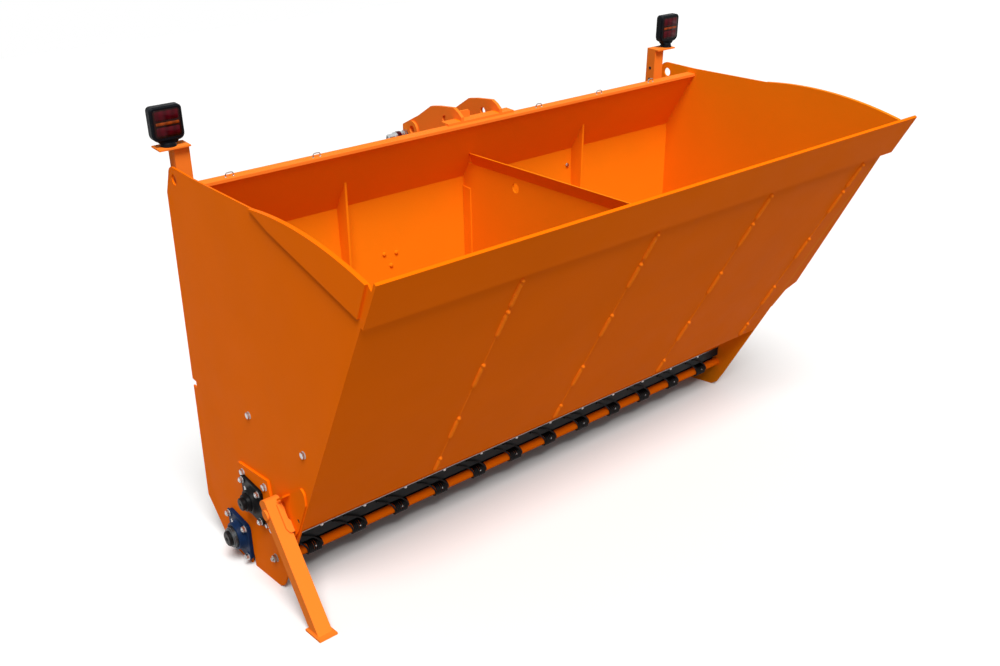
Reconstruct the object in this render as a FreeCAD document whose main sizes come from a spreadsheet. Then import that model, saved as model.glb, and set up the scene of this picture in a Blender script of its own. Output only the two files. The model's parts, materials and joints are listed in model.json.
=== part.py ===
"""Self-loading sand spreader for a three-point linkage, parked on its end plates and two legs.

Machine axes, in which every piece is drawn:
  X  along the spreader's width, 0 half way between the end plates
  Y  towards the tractor, 0 at the heel of the end plates' ground edge
  Z  up when the spreader is carried level, 0 at the same heel
The parked spreader leans forward by lean_angle about its heels, so that the ground edge of both
end plates and both feet stand flat. Every piece gets that lean in its Placement.
"""
import FreeCAD, Part
import math
import os
import Sketcher

V = FreeCAD.Vector

# ---------------------------------------------------------------- driving dimensions, mm and degrees
SIZES = {
    # whole machine
    "body_width": (2200, "over the outer faces of the end plates"),
    "lean_angle": (10, "forward lean when parked"),
    "origin_ahead": (494, "from the heels' line on the ground forward to the origin"),
    "plate_thick": (6, "end plate"),
    "sheet_thick": (5, "back wall and front wall"),
    # end plate outline, from the heel
    "heel_back": (96, "end of the flat behind the heel"),
    "heel_cut_y": (137, "start of the heel's slanting cut"),
    "heel_cut_z": (27, "start of the heel's slanting cut"),
    "back_low_y": (246, "lower back corner"),
    "back_low_z": (130, "lower back corner"),
    "back_top_y": (198, "back edge under the lifting eye"),
    "back_top_z": (1322, "back edge under the lifting eye"),
    "eye_y": (126, "lifting eye's hole"),
    "eye_z": (1382, "lifting eye's hole"),
    "eye_hole_radius": (17, "lifting eye's hole"),
    "eye_radius": (40, "rounding of the lifting eye"),
    "notch_z": (620, "middle of the hose notch in the back edge"),
    "notch_half": (13, "half the height of the hose notch"),
    "notch_depth": (28, "depth of the hose notch"),
    "brim_back_y": (-16, "front end of the straight brim"),
    "brim_back_z": (1424, "front end of the straight brim"),
    "arc_start_y": (-386, "where the arched brim starts"),
    "arc_start_z": (1443, "where the arched brim starts"),
    "arc_end_y": (-971, "where the arched brim ends"),
    "arc_end_z": (1430, "where the arched brim ends"),
    "arc_radius": (1600, "arched brim"),
    "front_top_y": (-985, "top of the front edge"),
    "front_top_z": (1415, "top of the front edge"),
    "front_low_y": (-349, "foot of the front edge"),
    "front_low_z": (129, "foot of the front edge"),
    "toe_y": (-290, "front end of the ground edge"),
    "toe_round_y": (-318, "chamfer over the toe"),
    "toe_round_z": (72, "chamfer over the toe"),
    "slot_y": (-91, "middle of the drain slot in the ground edge"),
    "slot_half": (14, "half the width of the drain slot"),
    "slot_top_z": (64, "top of the drain slot"),
    # brim doublers
    "doubler_thick": (8, "plate on the outside of the arched brim"),
    "doubler_back_y": (-485, "lower back corner of the doubler"),
    "doubler_back_z": (1411, "lower back corner of the doubler"),
    "doubler_front_y": (-924, "lower front corner of the doubler"),
    "doubler_front_z": (1321, "lower front corner of the doubler"),
    # back wall
    "rim_y": (-27, "front of the rim"),
    "rim_z": (1404, "top of the rim"),
    "rim_size": (40, "bar along the top of the back wall"),
    "rim_cap": (12, "end of the band below the rim's top"),
    "tube_wall": (5, "wall of the square tubes"),
    "band_y": (108, "bend between the leaning band and the panel"),
    "band_z": (1164, "bend between the leaning band and the panel"),
    "panel_low_y": (84, "lower end of the panel"),
    "panel_low_z": (250, "lower end of the panel"),
    "apron_low_y": (92, "lower end of the apron behind the roller"),
    "apron_low_z": (62, "lower end of the apron behind the roller"),
    # front wall
    "chute_z": (405, "bend between the front wall and the chute"),
    "flange_y": (-290, "front face of the chute's flange"),
    "flange_top_z": (262, "top of the chute's flange"),
    "flange_low_z": (206, "foot of the chute's flange"),
    "guard_top_z": (1290, "top of the guard beside the front wall"),
    "guard_wide_z": (654, "widest place of the guard"),
    "guard_step_z": (624, "end of the guard's slanting cut"),
    "guard_low_z": (539, "foot of the guard"),
    "guard_top_reach": (6, "guard's reach past the end plate, top"),
    "guard_wide_reach": (69, "guard's reach past the end plate, widest"),
    "guard_step_reach": (22, "guard's reach past the end plate, after the cut"),
    # lip
    "lip_thick": (10, "wear lip"),
    "lip_height": (163, "wear lip, along its slope"),
    "lip_above": (28, "lip's reach above the front wall"),
    "lip_past": (50, "lip's reach past the right end plate"),
    # partition and ribs
    "partition_thick": (6, "middle partition"),
    "partition_back_z": (1270, "top of the partition at the back"),
    "partition_front_z": (1328, "top of the partition at the front"),
    "partition_low_z": (430, "foot of the partition"),
    "partition_fold": (45, "height of the folded strip on its top"),
    "partition_lean": (18, "sideways reach of the folded strip"),
    "partition_hole_y": (-197, "hole in the partition"),
    "partition_hole_z": (1202, "hole in the partition"),
    "partition_hole_radius": (18, "hole in the partition"),
    "rib_thick": (8, "ribs on the back wall"),
    "rib_pitch": (1090, "between the two ribs"),
    "rib_depth": (62, "rib's front edge, ahead of the panel's bend"),
    "rib_low_z": (450, "foot of the ribs"),
    "rib_taper": (90, "height of the taper at the ribs' feet"),
    # hitch frame
    "mast_pitch": (600, "between the mast beams"),
    "mast_width": (80, "mast beam, along X"),
    "mast_depth": (70, "mast beam, along Y"),
    "beam_size": (90, "square cross beams"),
    "beam_low_z": (330, "middle of the lower cross beam"),
    "beam_high_z": (1215, "middle of the upper cross beam"),
    "ear_thick": (12, "coupler ears"),
    "ear_pitch": (172, "between the coupler ears"),
    "ear_wall_gap": (2.76, "between the coupler ears and the leaning band"),
    "ear_hole_y": (294, "pin hole in the coupler ears"),
    "ear_hole_z": (1314, "pin hole in the coupler ears"),
    "ear_hole_radius": (15, "pin hole in the coupler ears"),
    "ear_boss_radius": (32, "boss round the pin hole"),
    "ear_boss_reach": (8, "boss's height over the ear"),
    "ear_second_y": (95, "second hole in the coupler ears"),
    "ear_second_z": (1397, "second hole in the coupler ears"),
    "saddle_thick": (8, "saddle plate on the rim"),
    "saddle_width": (294, "saddle plate on the rim"),
    "link_pitch": (825, "between the shoulders of the lower link pins"),
    "link_y": (265, "lower link pins"),
    "link_pin_radius": (14, "lower link pins"),
    "link_pin_length": (70, "free length of the lower link pins"),
    "link_shank_radius": (11, "threaded shank of those pins, through their plates"),
    "link_cheek_thick": (20, "plates that carry the lower link pins"),
    "link_cheek_radius": (50, "rounding of those plates"),
    # hose couplings on the left ear
    "coupling_radius": (16, "hose coupling"),
    "coupling_length": (95, "hose coupling"),
    "coupling_y": (338, "hose couplings"),
    "coupling_high_z": (1284, "upper hose coupling"),
    "coupling_pitch": (46, "between the hose couplings"),
    # roller and its bearing
    "roller_y": (-27, "roller's axis"),
    "roller_z": (117, "roller's axis"),
    "roller_radius": (95, "roller over its bars"),
    "drum_radius": (84, "roller's drum"),
    "drum_wall": (8, "roller's drum"),
    "drum_disc": (10, "discs in the drum's ends"),
    "disc_hole_radius": (12, "holes in those discs"),
    "bar_width": (14, "bars on the roller"),
    "bar_count": (12, "bars on the roller"),
    "roller_shaft_radius": (27.5, "roller's shaft"),
    "roller_end_gap": (8, "between the drum and the end plates"),
    "shaft_gap": (0.05, "running clearance in the bearings"),
    "shaft_stand": (22, "shaft's reach past the bearing"),
    "shaft_right": (40, "shaft's reach past the right end plate"),
    "plate_bore_gap": (8, "round a shaft in the end plate"),
    "roller_flange": (150, "roller bearing's square flange"),
    "roller_flange_thick": (14, "roller bearing's flange"),
    "roller_hub_radius": (52, "roller bearing's hub"),
    "roller_hub_reach": (36, "roller bearing's hub, from the end plate"),
    # agitator and its bearing
    "agitator_y": (-185, "agitator's axis"),
    "agitator_z": (358, "agitator's axis"),
    "agitator_shaft_radius": (22, "agitator's shaft"),
    "agitator_reach": (62, "agitator's fingers, from the axis"),
    "finger_thick": (12, "agitator's fingers"),
    "finger_pitch": (150, "between fingers of one row"),
    "finger_count": (14, "fingers of one row"),
    "agitator_flange": (138, "agitator bearing's square flange"),
    "agitator_flange_thick": (10, "agitator bearing's flange"),
    "agitator_hub_radius": (42, "agitator bearing's hub"),
    "agitator_hub_reach": (27, "agitator bearing's hub, from its carrier"),
    "carrier_thick": (8, "carrier plate under the agitator's bearing"),
    "carrier_y": (-210, "middle of the carrier plate"),
    "carrier_z": (372, "middle of the carrier plate"),
    "carrier_width": (212, "carrier plate"),
    "carrier_height": (206, "carrier plate"),
    # drive on the right
    "cover_reach": (60, "drive cover, from the right end plate"),
    "cover_wall": (3, "drive cover's sheet"),
    "motor_size": (100, "hydraulic motor"),
    "motor_length": (140, "hydraulic motor"),
    "motor_y": (183, "middle of the hydraulic motor"),
    "motor_z": (250, "middle of the hydraulic motor"),
    # gate
    "bar_thick": (8, "gate's clamp bar"),
    "strip_thick": (10, "gate's rubber strip"),
    "strip_end_y": (-136, "edge of the strip at the roller"),
    "strip_end_z": (84, "edge of the strip at the roller"),
    "pipe_y": (-303, "axis of the spring pipe"),
    "pipe_z": (172, "axis of the spring pipe"),
    "pipe_radius": (16.9, "spring pipe"),
    "pipe_wall": (4, "spring pipe"),
    "spring_count": (12, "springs on the pipe"),
    "spring_pitch": (177, "between springs"),
    "spring_length": (52, "coils of a spring, along the pipe"),
    "spring_radius": (23.4, "coils of a spring"),
    "spring_gap": (0.5, "between the coils and the pipe"),
    # parking leg on the left
    "leg_size": (50, "square tube of the leg"),
    "leg_angle": (37.3, "leg's slant from the machine's upright"),
    "leg_stand_off": (12, "leg's inner face, from the end plate"),
    "leg_top": (40, "leg's shoulders, above its pivot"),
    "leg_crown": (38, "rounding of the leg's top"),
    "pivot_y": (-385, "leg's pivot"),
    "pivot_z": (436, "leg's pivot"),
    "pivot_radius": (10, "leg's pivot pin"),
    "pivot_collar_radius": (18, "collar and head of the pivot pin"),
    "pivot_side_gap": (0.5, "between the leg and the collar or head"),
    "pivot_head": (6.5, "head of the pivot pin"),
    "foot_thick": (8, "foot plate"),
    "foot_width": (64, "foot plate, along X"),
    "foot_length": (92, "foot plate, along Y"),
    "bracket_thick": (6, "leg's bracket"),
    "bracket_reach": (30, "lug of the bracket, from the end plate"),
    "bracket_rear": (45, "bracket's rear edge, behind the pivot"),
    "bracket_low": (86, "bracket's lower edge, under the pivot"),
    "bracket_back_y": (-352, "start of the bracket's slanting edge"),
    "bracket_back_z": (452, "start of the bracket's slanting edge"),
    "bracket_crest_y": (-445, "end of the lug on the slanting edge"),
    "bracket_crest_z": (529, "end of the lug on the slanting edge"),
    "bracket_top_y": (-542, "bracket's upper front corner"),
    "bracket_top_z": (588, "bracket's upper front corner"),
    "bracket_round": (22, "rounding of that corner"),
    "bracket_knee_z": (534, "bend of the bracket's front edge"),
    "bracket_chin_y": (-481, "lower end of the bracket's front edge"),
    "bracket_chin_z": (404, "lower end of the bracket's front edge"),
    "bracket_toe_y": (-442, "lower front corner of the bracket"),
    "lug_start_y": (-400, "start of the lug on the slanting edge"),
    "lock_hole_y": (-487, "hole that locks the folded leg"),
    "lock_hole_z": (447, "hole that locks the folded leg"),
    "lock_hole_radius": (7, "hole that locks the folded leg"),
    # lamps
    "lamp_width": (112, "lamp housing"),
    "lamp_height": (100, "lamp housing"),
    "lamp_depth": (32, "lamp housing"),
    "lamp_corner_low": (22, "cut lower corners of the lamp housing"),
    "lamp_corner_top": (8, "cut upper corners of the lamp housing"),
    "lens_thick": (4, "lamp lens"),
    "lens_margin": (10, "housing's frame round the lens"),
    "lamp_x": (1095, "middle of the lamp"),
    "lamp_y": (143, "front of the lamp housing"),
    "lamp_z": (1560, "middle of the lamp"),
    "stem_radius": (11, "lamp's stem"),
    "post_x": (1055, "middle of the lamp post"),
    "post_width": (50, "lamp post"),
    "post_depth": (45, "lamp post"),
    "post_wall": (4, "lamp post"),
    "post_low_z": (1255, "foot of the lamp post"),
    "post_top_z": (1475, "top of the lamp post"),
    "post_tab_height": (80, "tab between the post and the end plate"),
    "shelf_thick": (5, "shelf on the lamp post"),
    "shelf_depth": (62, "shelf on the lamp post"),
    "shelf_past": (36, "shelf's reach past the lamp's middle"),
}

doc = FreeCAD.newDocument("sand_spreader")
sheet = doc.addObject("Spreadsheet::Sheet", "sizes")
for row, (alias, (value, meaning)) in enumerate(SIZES.items(), start=1):
    sheet.set(f"A{row}", alias)
    sheet.set(f"B{row}", str(value))
    sheet.set(f"C{row}", meaning)
    sheet.setAlias(f"B{row}", alias)
doc.recompute()


def s(alias):
    """The value of one cell."""
    return float(sheet.get(alias))


def cell(text):
    """An expression in which every word that is an alias gets the sheet's name."""
    words = []
    word = ""
    for letter in text + " ":
        if letter.isalnum() or letter == "_":
            word += letter
            continue
        words.append("sizes." + word if word in SIZES else word)
        words.append(letter)
        word = ""
    return "".join(words).strip()


# A loose document object whose one property takes an expression and gives back its value.
gauge = doc.addObject("App::FeaturePython", "gauge")
gauge.addProperty("App::PropertyFloat", "reading")


def number(text):
    """The value of such an expression."""
    gauge.setExpression("reading", cell(text))
    gauge.recompute()
    return gauge.reading


# The lean and the shift that every piece shares.
LEAN = FreeCAD.Rotation(V(1, 0, 0), s("lean_angle"))
STAND = FreeCAD.Placement(V(0, s("origin_ahead"), 0), LEAN)
SUB_PARTS = []


def in_machine(y=0.0, z=0.0, turn=0.0):
    """Placement of a piece drawn about its own axis, which runs along X through (y, z)."""
    local = FreeCAD.Placement(V(0, y, z), FreeCAD.Rotation(V(1, 0, 0), turn))
    return STAND.multiply(local)


# ---------------------------------------------------------------- drawing helpers
def new_body(label, placement=STAND):
    body = doc.addObject("PartDesign::Body", label)
    body.Label = label
    body.Placement = placement
    SUB_PARTS.append(body)
    return body


def new_sketch(body, role, offset="0"):
    """A sketch on one of the body's origin planes, moved along the plane's normal."""
    sketch = body.newObject("Sketcher::SketchObject", body.Name + "_sketch")
    plane = [item for item in body.Origin.OriginFeatures if item.Role == role][0]
    sketch.AttachmentSupport = (plane, [""])
    sketch.MapMode = "FlatFace"
    sketch.setExpression("AttachmentOffset.Base.z", cell(offset))
    return sketch


def hold(sketch, geometry, point, pair):
    """Ties one point of a sketch to two expressions."""
    for kind, text in zip(("DistanceX", "DistanceY"), pair):
        rule = Sketcher.Constraint(kind, -1, 1, geometry, point, number(text))
        index = sketch.addConstraint(rule)
        sketch.setExpression(f"Constraints[{index}]", cell(text))


def outline(sketch, points, bulges=None):
    """A closed outline of lines; bulges maps a side's number to its arc's signed radius."""
    bulges = bulges or {}
    first = sketch.GeometryCount
    spots = [V(number(a), number(b), 0) for a, b in points]
    starts = []
    for i, here in enumerate(spots):
        there = spots[(i + 1) % len(spots)]
        if i in bulges:
            radius = number(bulges[i])
            half = there.sub(here) * 0.5
            normal = V(half.y, -half.x, 0).normalize() * math.copysign(1, radius)
            rise = abs(radius) - math.sqrt(radius ** 2 - half.Length ** 2)
            piece = Part.Arc(here, here + half + normal * rise, there)
            sketch.addGeometry(piece, False)
            starts.append(1 if sketch.getPoint(first + i, 1).sub(here).Length < 0.01 else 2)
        else:
            sketch.addGeometry(Part.LineSegment(here, there), False)
            starts.append(1)
    for i in range(len(spots)):
        after = (i + 1) % len(spots)
        link = Sketcher.Constraint("Coincident", first + i, 3 - starts[i], first + after, starts[after])
        sketch.addConstraint(link)
    for i, pair in enumerate(points):
        hold(sketch, first + i, starts[i], pair)
    for i, text in bulges.items():
        index = sketch.addConstraint(Sketcher.Constraint("Radius", first + i, abs(number(text))))
        sketch.setExpression(f"Constraints[{index}]", f"abs({cell(text)})")


def circle(sketch, pair, radius):
    """A full circle."""
    centre = V(number(pair[0]), number(pair[1]), 0)
    index = sketch.addGeometry(Part.Circle(centre, V(0, 0, 1), number(radius)), False)
    hold(sketch, index, 3, pair)
    rule = sketch.addConstraint(Sketcher.Constraint("Radius", index, number(radius)))
    sketch.setExpression(f"Constraints[{rule}]", cell(radius))


def bent_sheet(sketch, path, thick, side=1):
    """A sheet seen from its end: the path is one face, the other is parallel to it."""
    spots = [V(number(a), number(b), 0) for a, b in path]
    gauge = number(thick)
    runs = [(b - a).normalize() for a, b in zip(spots, spots[1:])]
    normals = [V(-run.y, run.x, 0) * side for run in runs]
    far = [spots[0] + normals[0] * gauge]
    for before, after, spot in zip(normals, normals[1:], spots[1:-1]):
        middle = (before + after).normalize()
        far.append(spot + middle * (gauge / middle.dot(before)))
    far.append(spots[-1] + normals[-1] * gauge)
    loop = spots + far[::-1]
    count = len(loop)
    first = sketch.GeometryCount
    for i in range(count):
        sketch.addGeometry(Part.LineSegment(loop[i], loop[(i + 1) % count]), False)
    for i in range(count):
        sketch.addConstraint(Sketcher.Constraint("Coincident", first + i, 2, first + (i + 1) % count, 1))
    for i, pair in enumerate(path):
        hold(sketch, first + i, 1, pair)
    for i in range(len(runs)):
        twin = first + count - 2 - i
        sketch.addConstraint(Sketcher.Constraint("Parallel", first + i, twin))
        gap = sketch.addConstraint(Sketcher.Constraint("Distance", first + i, 1, twin, gauge))
        sketch.setExpression(f"Constraints[{gap}]", cell(thick))
    last = first + len(runs)
    sketch.addConstraint(Sketcher.Constraint("Perpendicular", last, last - 1))
    sketch.addConstraint(Sketcher.Constraint("Perpendicular", first + count - 1, first))


def pad(body, sketch, length, reverse=False):
    feature = body.newObject("PartDesign::Pad", body.Name + "_pad")
    feature.Profile = sketch
    feature.setExpression("Length", cell(length))
    feature.Reversed = reverse
    sketch.Visibility = False
    body.Tip = feature
    return feature


def pocket(body, sketch, length, reverse=False, midplane=False):
    """A cut, refused when it removes nothing."""
    doc.recompute()
    before = body.Shape.Volume
    feature = body.newObject("PartDesign::Pocket", body.Name + "_pocket")
    feature.Profile = sketch
    feature.setExpression("Length", cell(length))
    feature.Reversed = reverse
    feature.Midplane = midplane
    body.Tip = feature
    doc.recompute()
    if body.Shape.Volume > before - 1:
        raise RuntimeError(f"{body.Label}: a pocket cuts nothing")
    return feature


def slab(label, start, length, points, bulges=None, holes=(), placement=STAND):
    """A plate or bar drawn in the YZ plane and padded along X from start."""
    body = new_body(label, placement)
    sketch = new_sketch(body, "YZ_Plane", start)
    outline(sketch, points, bulges)
    for pair, radius in holes:
        circle(sketch, pair, radius)
    pad(body, sketch, length)
    return body


def add_slab(body, start, length, points, bulges=None, holes=()):
    sketch = new_sketch(body, "YZ_Plane", start)
    outline(sketch, points, bulges)
    for pair, radius in holes:
        circle(sketch, pair, radius)
    return pad(body, sketch, length)


def rod(label, start, length, pair, radius, bore=None, placement=STAND):
    """A round bar or pipe along X."""
    body = new_body(label, placement)
    add_rod(body, start, length, pair, radius, bore)
    return body


def add_rod(body, start, length, pair, radius, bore=None):
    sketch = new_sketch(body, "YZ_Plane", start)
    circle(sketch, pair, radius)
    if bore:
        circle(sketch, pair, bore)
    return pad(body, sketch, length)


# ---------------------------------------------------------------- places that several pieces share
SIDES = {"left": -1, "right": 1}
OUTER = "body_width / 2"
INNER = "(body_width / 2 - plate_thick)"
LEAN_SIN = "sin(lean_angle * 1deg)"
LEAN_COS = "cos(lean_angle * 1deg)"
GROUND = "-tan(lean_angle * 1deg)"
FRONT_SLOPE = "((front_top_y - front_low_y) / (front_top_z - front_low_z))"
FRONT_LENGTH = f"sqrt(1 + {FRONT_SLOPE}^2)"
PANEL_SLOPE = "((band_y - panel_low_y) / (band_z - panel_low_z))"
BAND_SLOPE = "((rim_y - band_y) / (rim_z - band_z))"
BAND_TOP = "(rim_z - rim_cap)"
ROLLER = ("roller_y", "roller_z")
AGITATOR = ("agitator_y", "agitator_z")
PIVOT = ("pivot_y", "pivot_z")
OWN_AXIS = ("0", "0")


def on_front(z):
    """Y of the end plates' front edge, which is the front wall's outer face, at height z."""
    return f"(front_low_y + {FRONT_SLOPE} * (({z}) - front_low_z))"


def inside_front(z):
    """Y of the front wall's inner face at height z."""
    return f"({on_front(z)} + sheet_thick * {FRONT_LENGTH})"


def on_panel(z):
    """Y of the back panel's inner face at height z."""
    return f"(band_y + {PANEL_SLOPE} * (({z}) - band_z))"


def behind_panel(z):
    """Y of the back panel's outer face at height z."""
    return f"({on_panel(z)} + sheet_thick * sqrt(1 + {PANEL_SLOPE}^2))"


def on_band(z):
    """Y of the leaning band's inner face at height z."""
    return f"(band_y + {BAND_SLOPE} * (({z}) - band_z))"


def outward(side, inner, thick):
    """Start along X of a piece whose inner face is at inner, on either side of the machine."""
    return f"-({inner}) - ({thick})" if side == "left" else f"{inner}"


def along_machine(body):
    """The body's own axis along the machine's width."""
    return [item for item in body.Origin.OriginFeatures if item.Role == "X_Axis"][0]


def mirrored(side, x):
    """An X on the right side, or the same place on the left."""
    return f"{SIDES[side]} * ({x})"


def rectangle(y_low, y_high, z_low, z_high):
    return [(y_low, z_low), (y_high, z_low), (y_high, z_high), (y_low, z_high)]


def leant_rectangle(width, height, y, z):
    """A rectangle about (y, z) whose lower side is parallel to the ground edge."""
    corners = []
    for across, along in ((-0.5, -0.5), (0.5, -0.5), (0.5, 0.5), (-0.5, 0.5)):
        corners.append((f"{y} + {across} * {width} * {LEAN_COS} + {along} * {height} * {LEAN_SIN}",
                        f"{z} - {across} * {width} * {LEAN_SIN} + {along} * {height} * {LEAN_COS}"))
    return corners


def at_angle(centre, radius, degrees):
    """The point of a circle at an angle from +Y towards +Z."""
    return (f"{centre[0]} + {radius} * cos({degrees}deg)", f"{centre[1]} + {radius} * sin({degrees}deg)")


def down_leg(along, ahead):
    """A point of the leg: its distance down from the pivot and ahead of its middle line."""
    return (f"pivot_y - ({along}) * sin(leg_angle * 1deg) - ({ahead}) * cos(leg_angle * 1deg)",
            f"pivot_z - ({along}) * cos(leg_angle * 1deg) + ({ahead}) * sin(leg_angle * 1deg)")


def leg_to_ground(ahead, above):
    """Distance down the leg, at a place ahead of its middle, to a height above the ground."""
    return (f"((pivot_z * {LEAN_COS} + pivot_y * {LEAN_SIN} - ({above})"
            f" + ({ahead}) * sin((leg_angle - lean_angle) * 1deg)) / cos((leg_angle - lean_angle) * 1deg))")


# ---------------------------------------------------------------- hopper: end plates and doublers
def end_plate(side):
    """Outline from the heel, round the back, over the brim and down the front to the toe."""
    back_edge = "back_low_y + (back_top_y - back_low_y) * (notch_z - back_low_z) / (back_top_z - back_low_z)"
    points = [
        ("0", "0"),
        ("heel_back", "0"),
        ("heel_cut_y", "heel_cut_z"),
        ("back_low_y", "back_low_z"),
        (back_edge, "notch_z - notch_half"),
        (f"{back_edge} - notch_depth", "notch_z - notch_half"),
        (f"{back_edge} - notch_depth", "notch_z + notch_half"),
        (back_edge, "notch_z + notch_half"),
        ("back_top_y", "back_top_z"),
        at_angle(("eye_y", "eye_z"), "eye_radius", 15),
        at_angle(("eye_y", "eye_z"), "eye_radius", 90),
        ("brim_back_y", "brim_back_z"),
        ("arc_start_y", "arc_start_z"),
        ("arc_end_y", "arc_end_z"),
        ("front_top_y", "front_top_z"),
        ("front_low_y", "front_low_z"),
        ("toe_round_y", "toe_round_z"),
        ("toe_y", f"toe_y * {GROUND}"),
        ("slot_y - slot_half", f"(slot_y - slot_half) * {GROUND}"),
        ("slot_y - slot_half", "slot_top_z"),
        ("slot_y + slot_half", "slot_top_z"),
        ("slot_y + slot_half", f"(slot_y + slot_half) * {GROUND}"),
    ]
    holes = [
        (("eye_y", "eye_z"), "eye_hole_radius"),
        (ROLLER, "roller_shaft_radius + plate_bore_gap"),
        (AGITATOR, "agitator_shaft_radius + plate_bore_gap"),
    ]
    slab(f"end_plate_{side}", outward(side, INNER, "plate_thick"), "plate_thick",
         points, {9: "eye_radius", 12: "arc_radius"}, holes)


def end_doubler(side):
    points = [("arc_start_y", "arc_start_z"), ("arc_end_y", "arc_end_z"),
              ("doubler_front_y", "doubler_front_z"), ("doubler_back_y", "doubler_back_z")]
    slab(f"end_doubler_{side}", outward(side, OUTER, "doubler_thick"), "doubler_thick",
         points, {0: "arc_radius"})


# ---------------------------------------------------------------- hopper: walls, lip, partition, ribs
def back_wall():
    """One bent sheet: the leaning band, the panel and the apron behind the roller."""
    body = new_body("back_wall")
    sketch = new_sketch(body, "YZ_Plane", f"-{INNER}")
    bent_sheet(sketch, [(on_band(BAND_TOP), BAND_TOP), ("band_y", "band_z"),
                        ("panel_low_y", "panel_low_z"), ("apron_low_y", "apron_low_z")], "sheet_thick")
    pad(body, sketch, f"2 * {INNER}")


def top_rim():
    """Bar that caps the back wall's top edge and fills the corner behind its leaning band."""
    length = f"sqrt(1 + {BAND_SLOPE}^2)"
    cap = f"{BAND_TOP} - sheet_thick * {BAND_SLOPE} / {length}"
    under = "rim_z - rim_size"
    points = [
        ("rim_y", "rim_z"),
        ("rim_y", cap),
        (f"{on_band(BAND_TOP)} + sheet_thick / {length}", cap),
        (f"{on_band(under)} + sheet_thick * {length}", under),
        ("rim_y + rim_size", under),
        ("rim_y + rim_size", "rim_z"),
    ]
    slab("top_rim", f"-{INNER}", f"2 * {INNER}", points)


def front_wall():
    """One bent sheet: the sloping wall, the chute under it and the flange for the gate."""
    body = new_body("front_wall")
    sketch = new_sketch(body, "YZ_Plane", f"-{INNER}")
    bent_sheet(sketch, [("front_top_y", "front_top_z"), (on_front("chute_z"), "chute_z"),
                        ("flange_y", "flange_top_z"), ("flange_y", "flange_low_z")], "sheet_thick")
    pad(body, sketch, f"2 * {INNER}")


def front_lip():
    """Wear lip on the outside of the front wall's top edge, running past the right end plate."""
    high = "(front_top_z + lip_above)"
    low = f"({high} - lip_height / {FRONT_LENGTH})"
    ahead = f"lip_thick / {FRONT_LENGTH}"
    sink = f"lip_thick * {FRONT_SLOPE} / {FRONT_LENGTH}"
    points = [(on_front(high), high), (on_front(low), low),
              (f"{on_front(low)} - {ahead}", f"{low} + {sink}"),
              (f"{on_front(high)} - {ahead}", f"{high} + {sink}")]
    slab("front_lip", f"-{OUTER}", "body_width + lip_past", points)


def front_guard():
    """Guard in line with the front wall, outside the right end plate, wider towards its foot."""
    body = new_body("front_guard")
    across = f"plate_thick / {FRONT_LENGTH}"
    sink = f"plate_thick * {FRONT_SLOPE} / {FRONT_LENGTH}"
    points = [(on_front("guard_top_z"), "guard_top_z"), (on_front("guard_low_z"), "guard_low_z"),
              (f"{on_front('guard_low_z')} + {across}", f"guard_low_z - {sink}"),
              (f"{on_front('guard_top_z')} + {across}", f"guard_top_z - {sink}")]
    add_slab(body, OUTER, "guard_wide_reach", points)
    far = f"{OUTER} + 2 * guard_wide_reach"
    trim = new_sketch(body, "XZ_Plane")
    outline(trim, [
        (f"{OUTER} + guard_top_reach", "guard_top_z + guard_wide_reach"),
        (f"{OUTER} + guard_top_reach", "guard_top_z"),
        (f"{OUTER} + guard_wide_reach", "guard_wide_z"),
        (f"{OUTER} + guard_step_reach", "guard_step_z"),
        (f"{OUTER} + guard_top_reach", "guard_low_z"),
        (f"{OUTER} + guard_top_reach", "guard_low_z - guard_wide_reach"),
        (far, "guard_low_z - guard_wide_reach"),
        (far, "guard_top_z + guard_wide_reach"),
    ])
    pocket(body, trim, "4 * body_width", midplane=True)


def partition():
    """Upright plate in the middle, with its top strip folded over to the left."""
    seam_back = "(partition_back_z - partition_fold)"
    seam_front = "(partition_front_z - partition_fold)"
    back_y = on_band("partition_back_z")
    front_y = inside_front(seam_front)
    points = [
        (back_y, seam_back),
        (front_y, seam_front),
        (inside_front("partition_low_z"), "partition_low_z"),
        (on_panel("partition_low_z"), "partition_low_z"),
        ("band_y", "band_z"),
        (on_band(seam_back), seam_back),
    ]
    body = slab("partition", "-partition_thick / 2", "partition_thick", points, None,
                [(("partition_hole_y", "partition_hole_z"), "partition_hole_radius")])
    ends = []
    for y, seam, top in ((back_y, seam_back, "partition_back_z"),
                         (front_y, seam_front, "partition_front_z")):
        sketch = new_sketch(body, "XZ_Plane", f"-{y}")
        outline(sketch, [("-partition_thick / 2", seam), ("partition_thick / 2", seam),
                         ("partition_thick / 2 - partition_lean", top),
                         ("-partition_thick / 2 - partition_lean", top)])
        ends.append(sketch)
    strip = body.newObject("PartDesign::AdditiveLoft", "partition_strip")
    strip.Profile = ends[0]
    strip.Sections = [ends[1]]
    strip.Ruled = True
    body.Tip = strip


def back_rib(side):
    """Stiffener in the bend between the leaning band and the panel."""
    front = "(band_y - rib_depth)"
    points = [(front, f"band_z + ({front} - band_y) / {BAND_SLOPE}"),
              (front, "rib_low_z + rib_taper"), (on_panel("rib_low_z"), "rib_low_z"),
              ("band_y", "band_z")]
    slab(f"back_rib_{side}", f"{SIDES[side]} * rib_pitch / 2 - rib_thick / 2", "rib_thick", points)


# ---------------------------------------------------------------- hitch frame behind the back wall
BEAM_BACK = "(band_y + sheet_thick + 1 + beam_size)"
BEAM_TOP = "(beam_high_z + beam_size / 2)"


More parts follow.
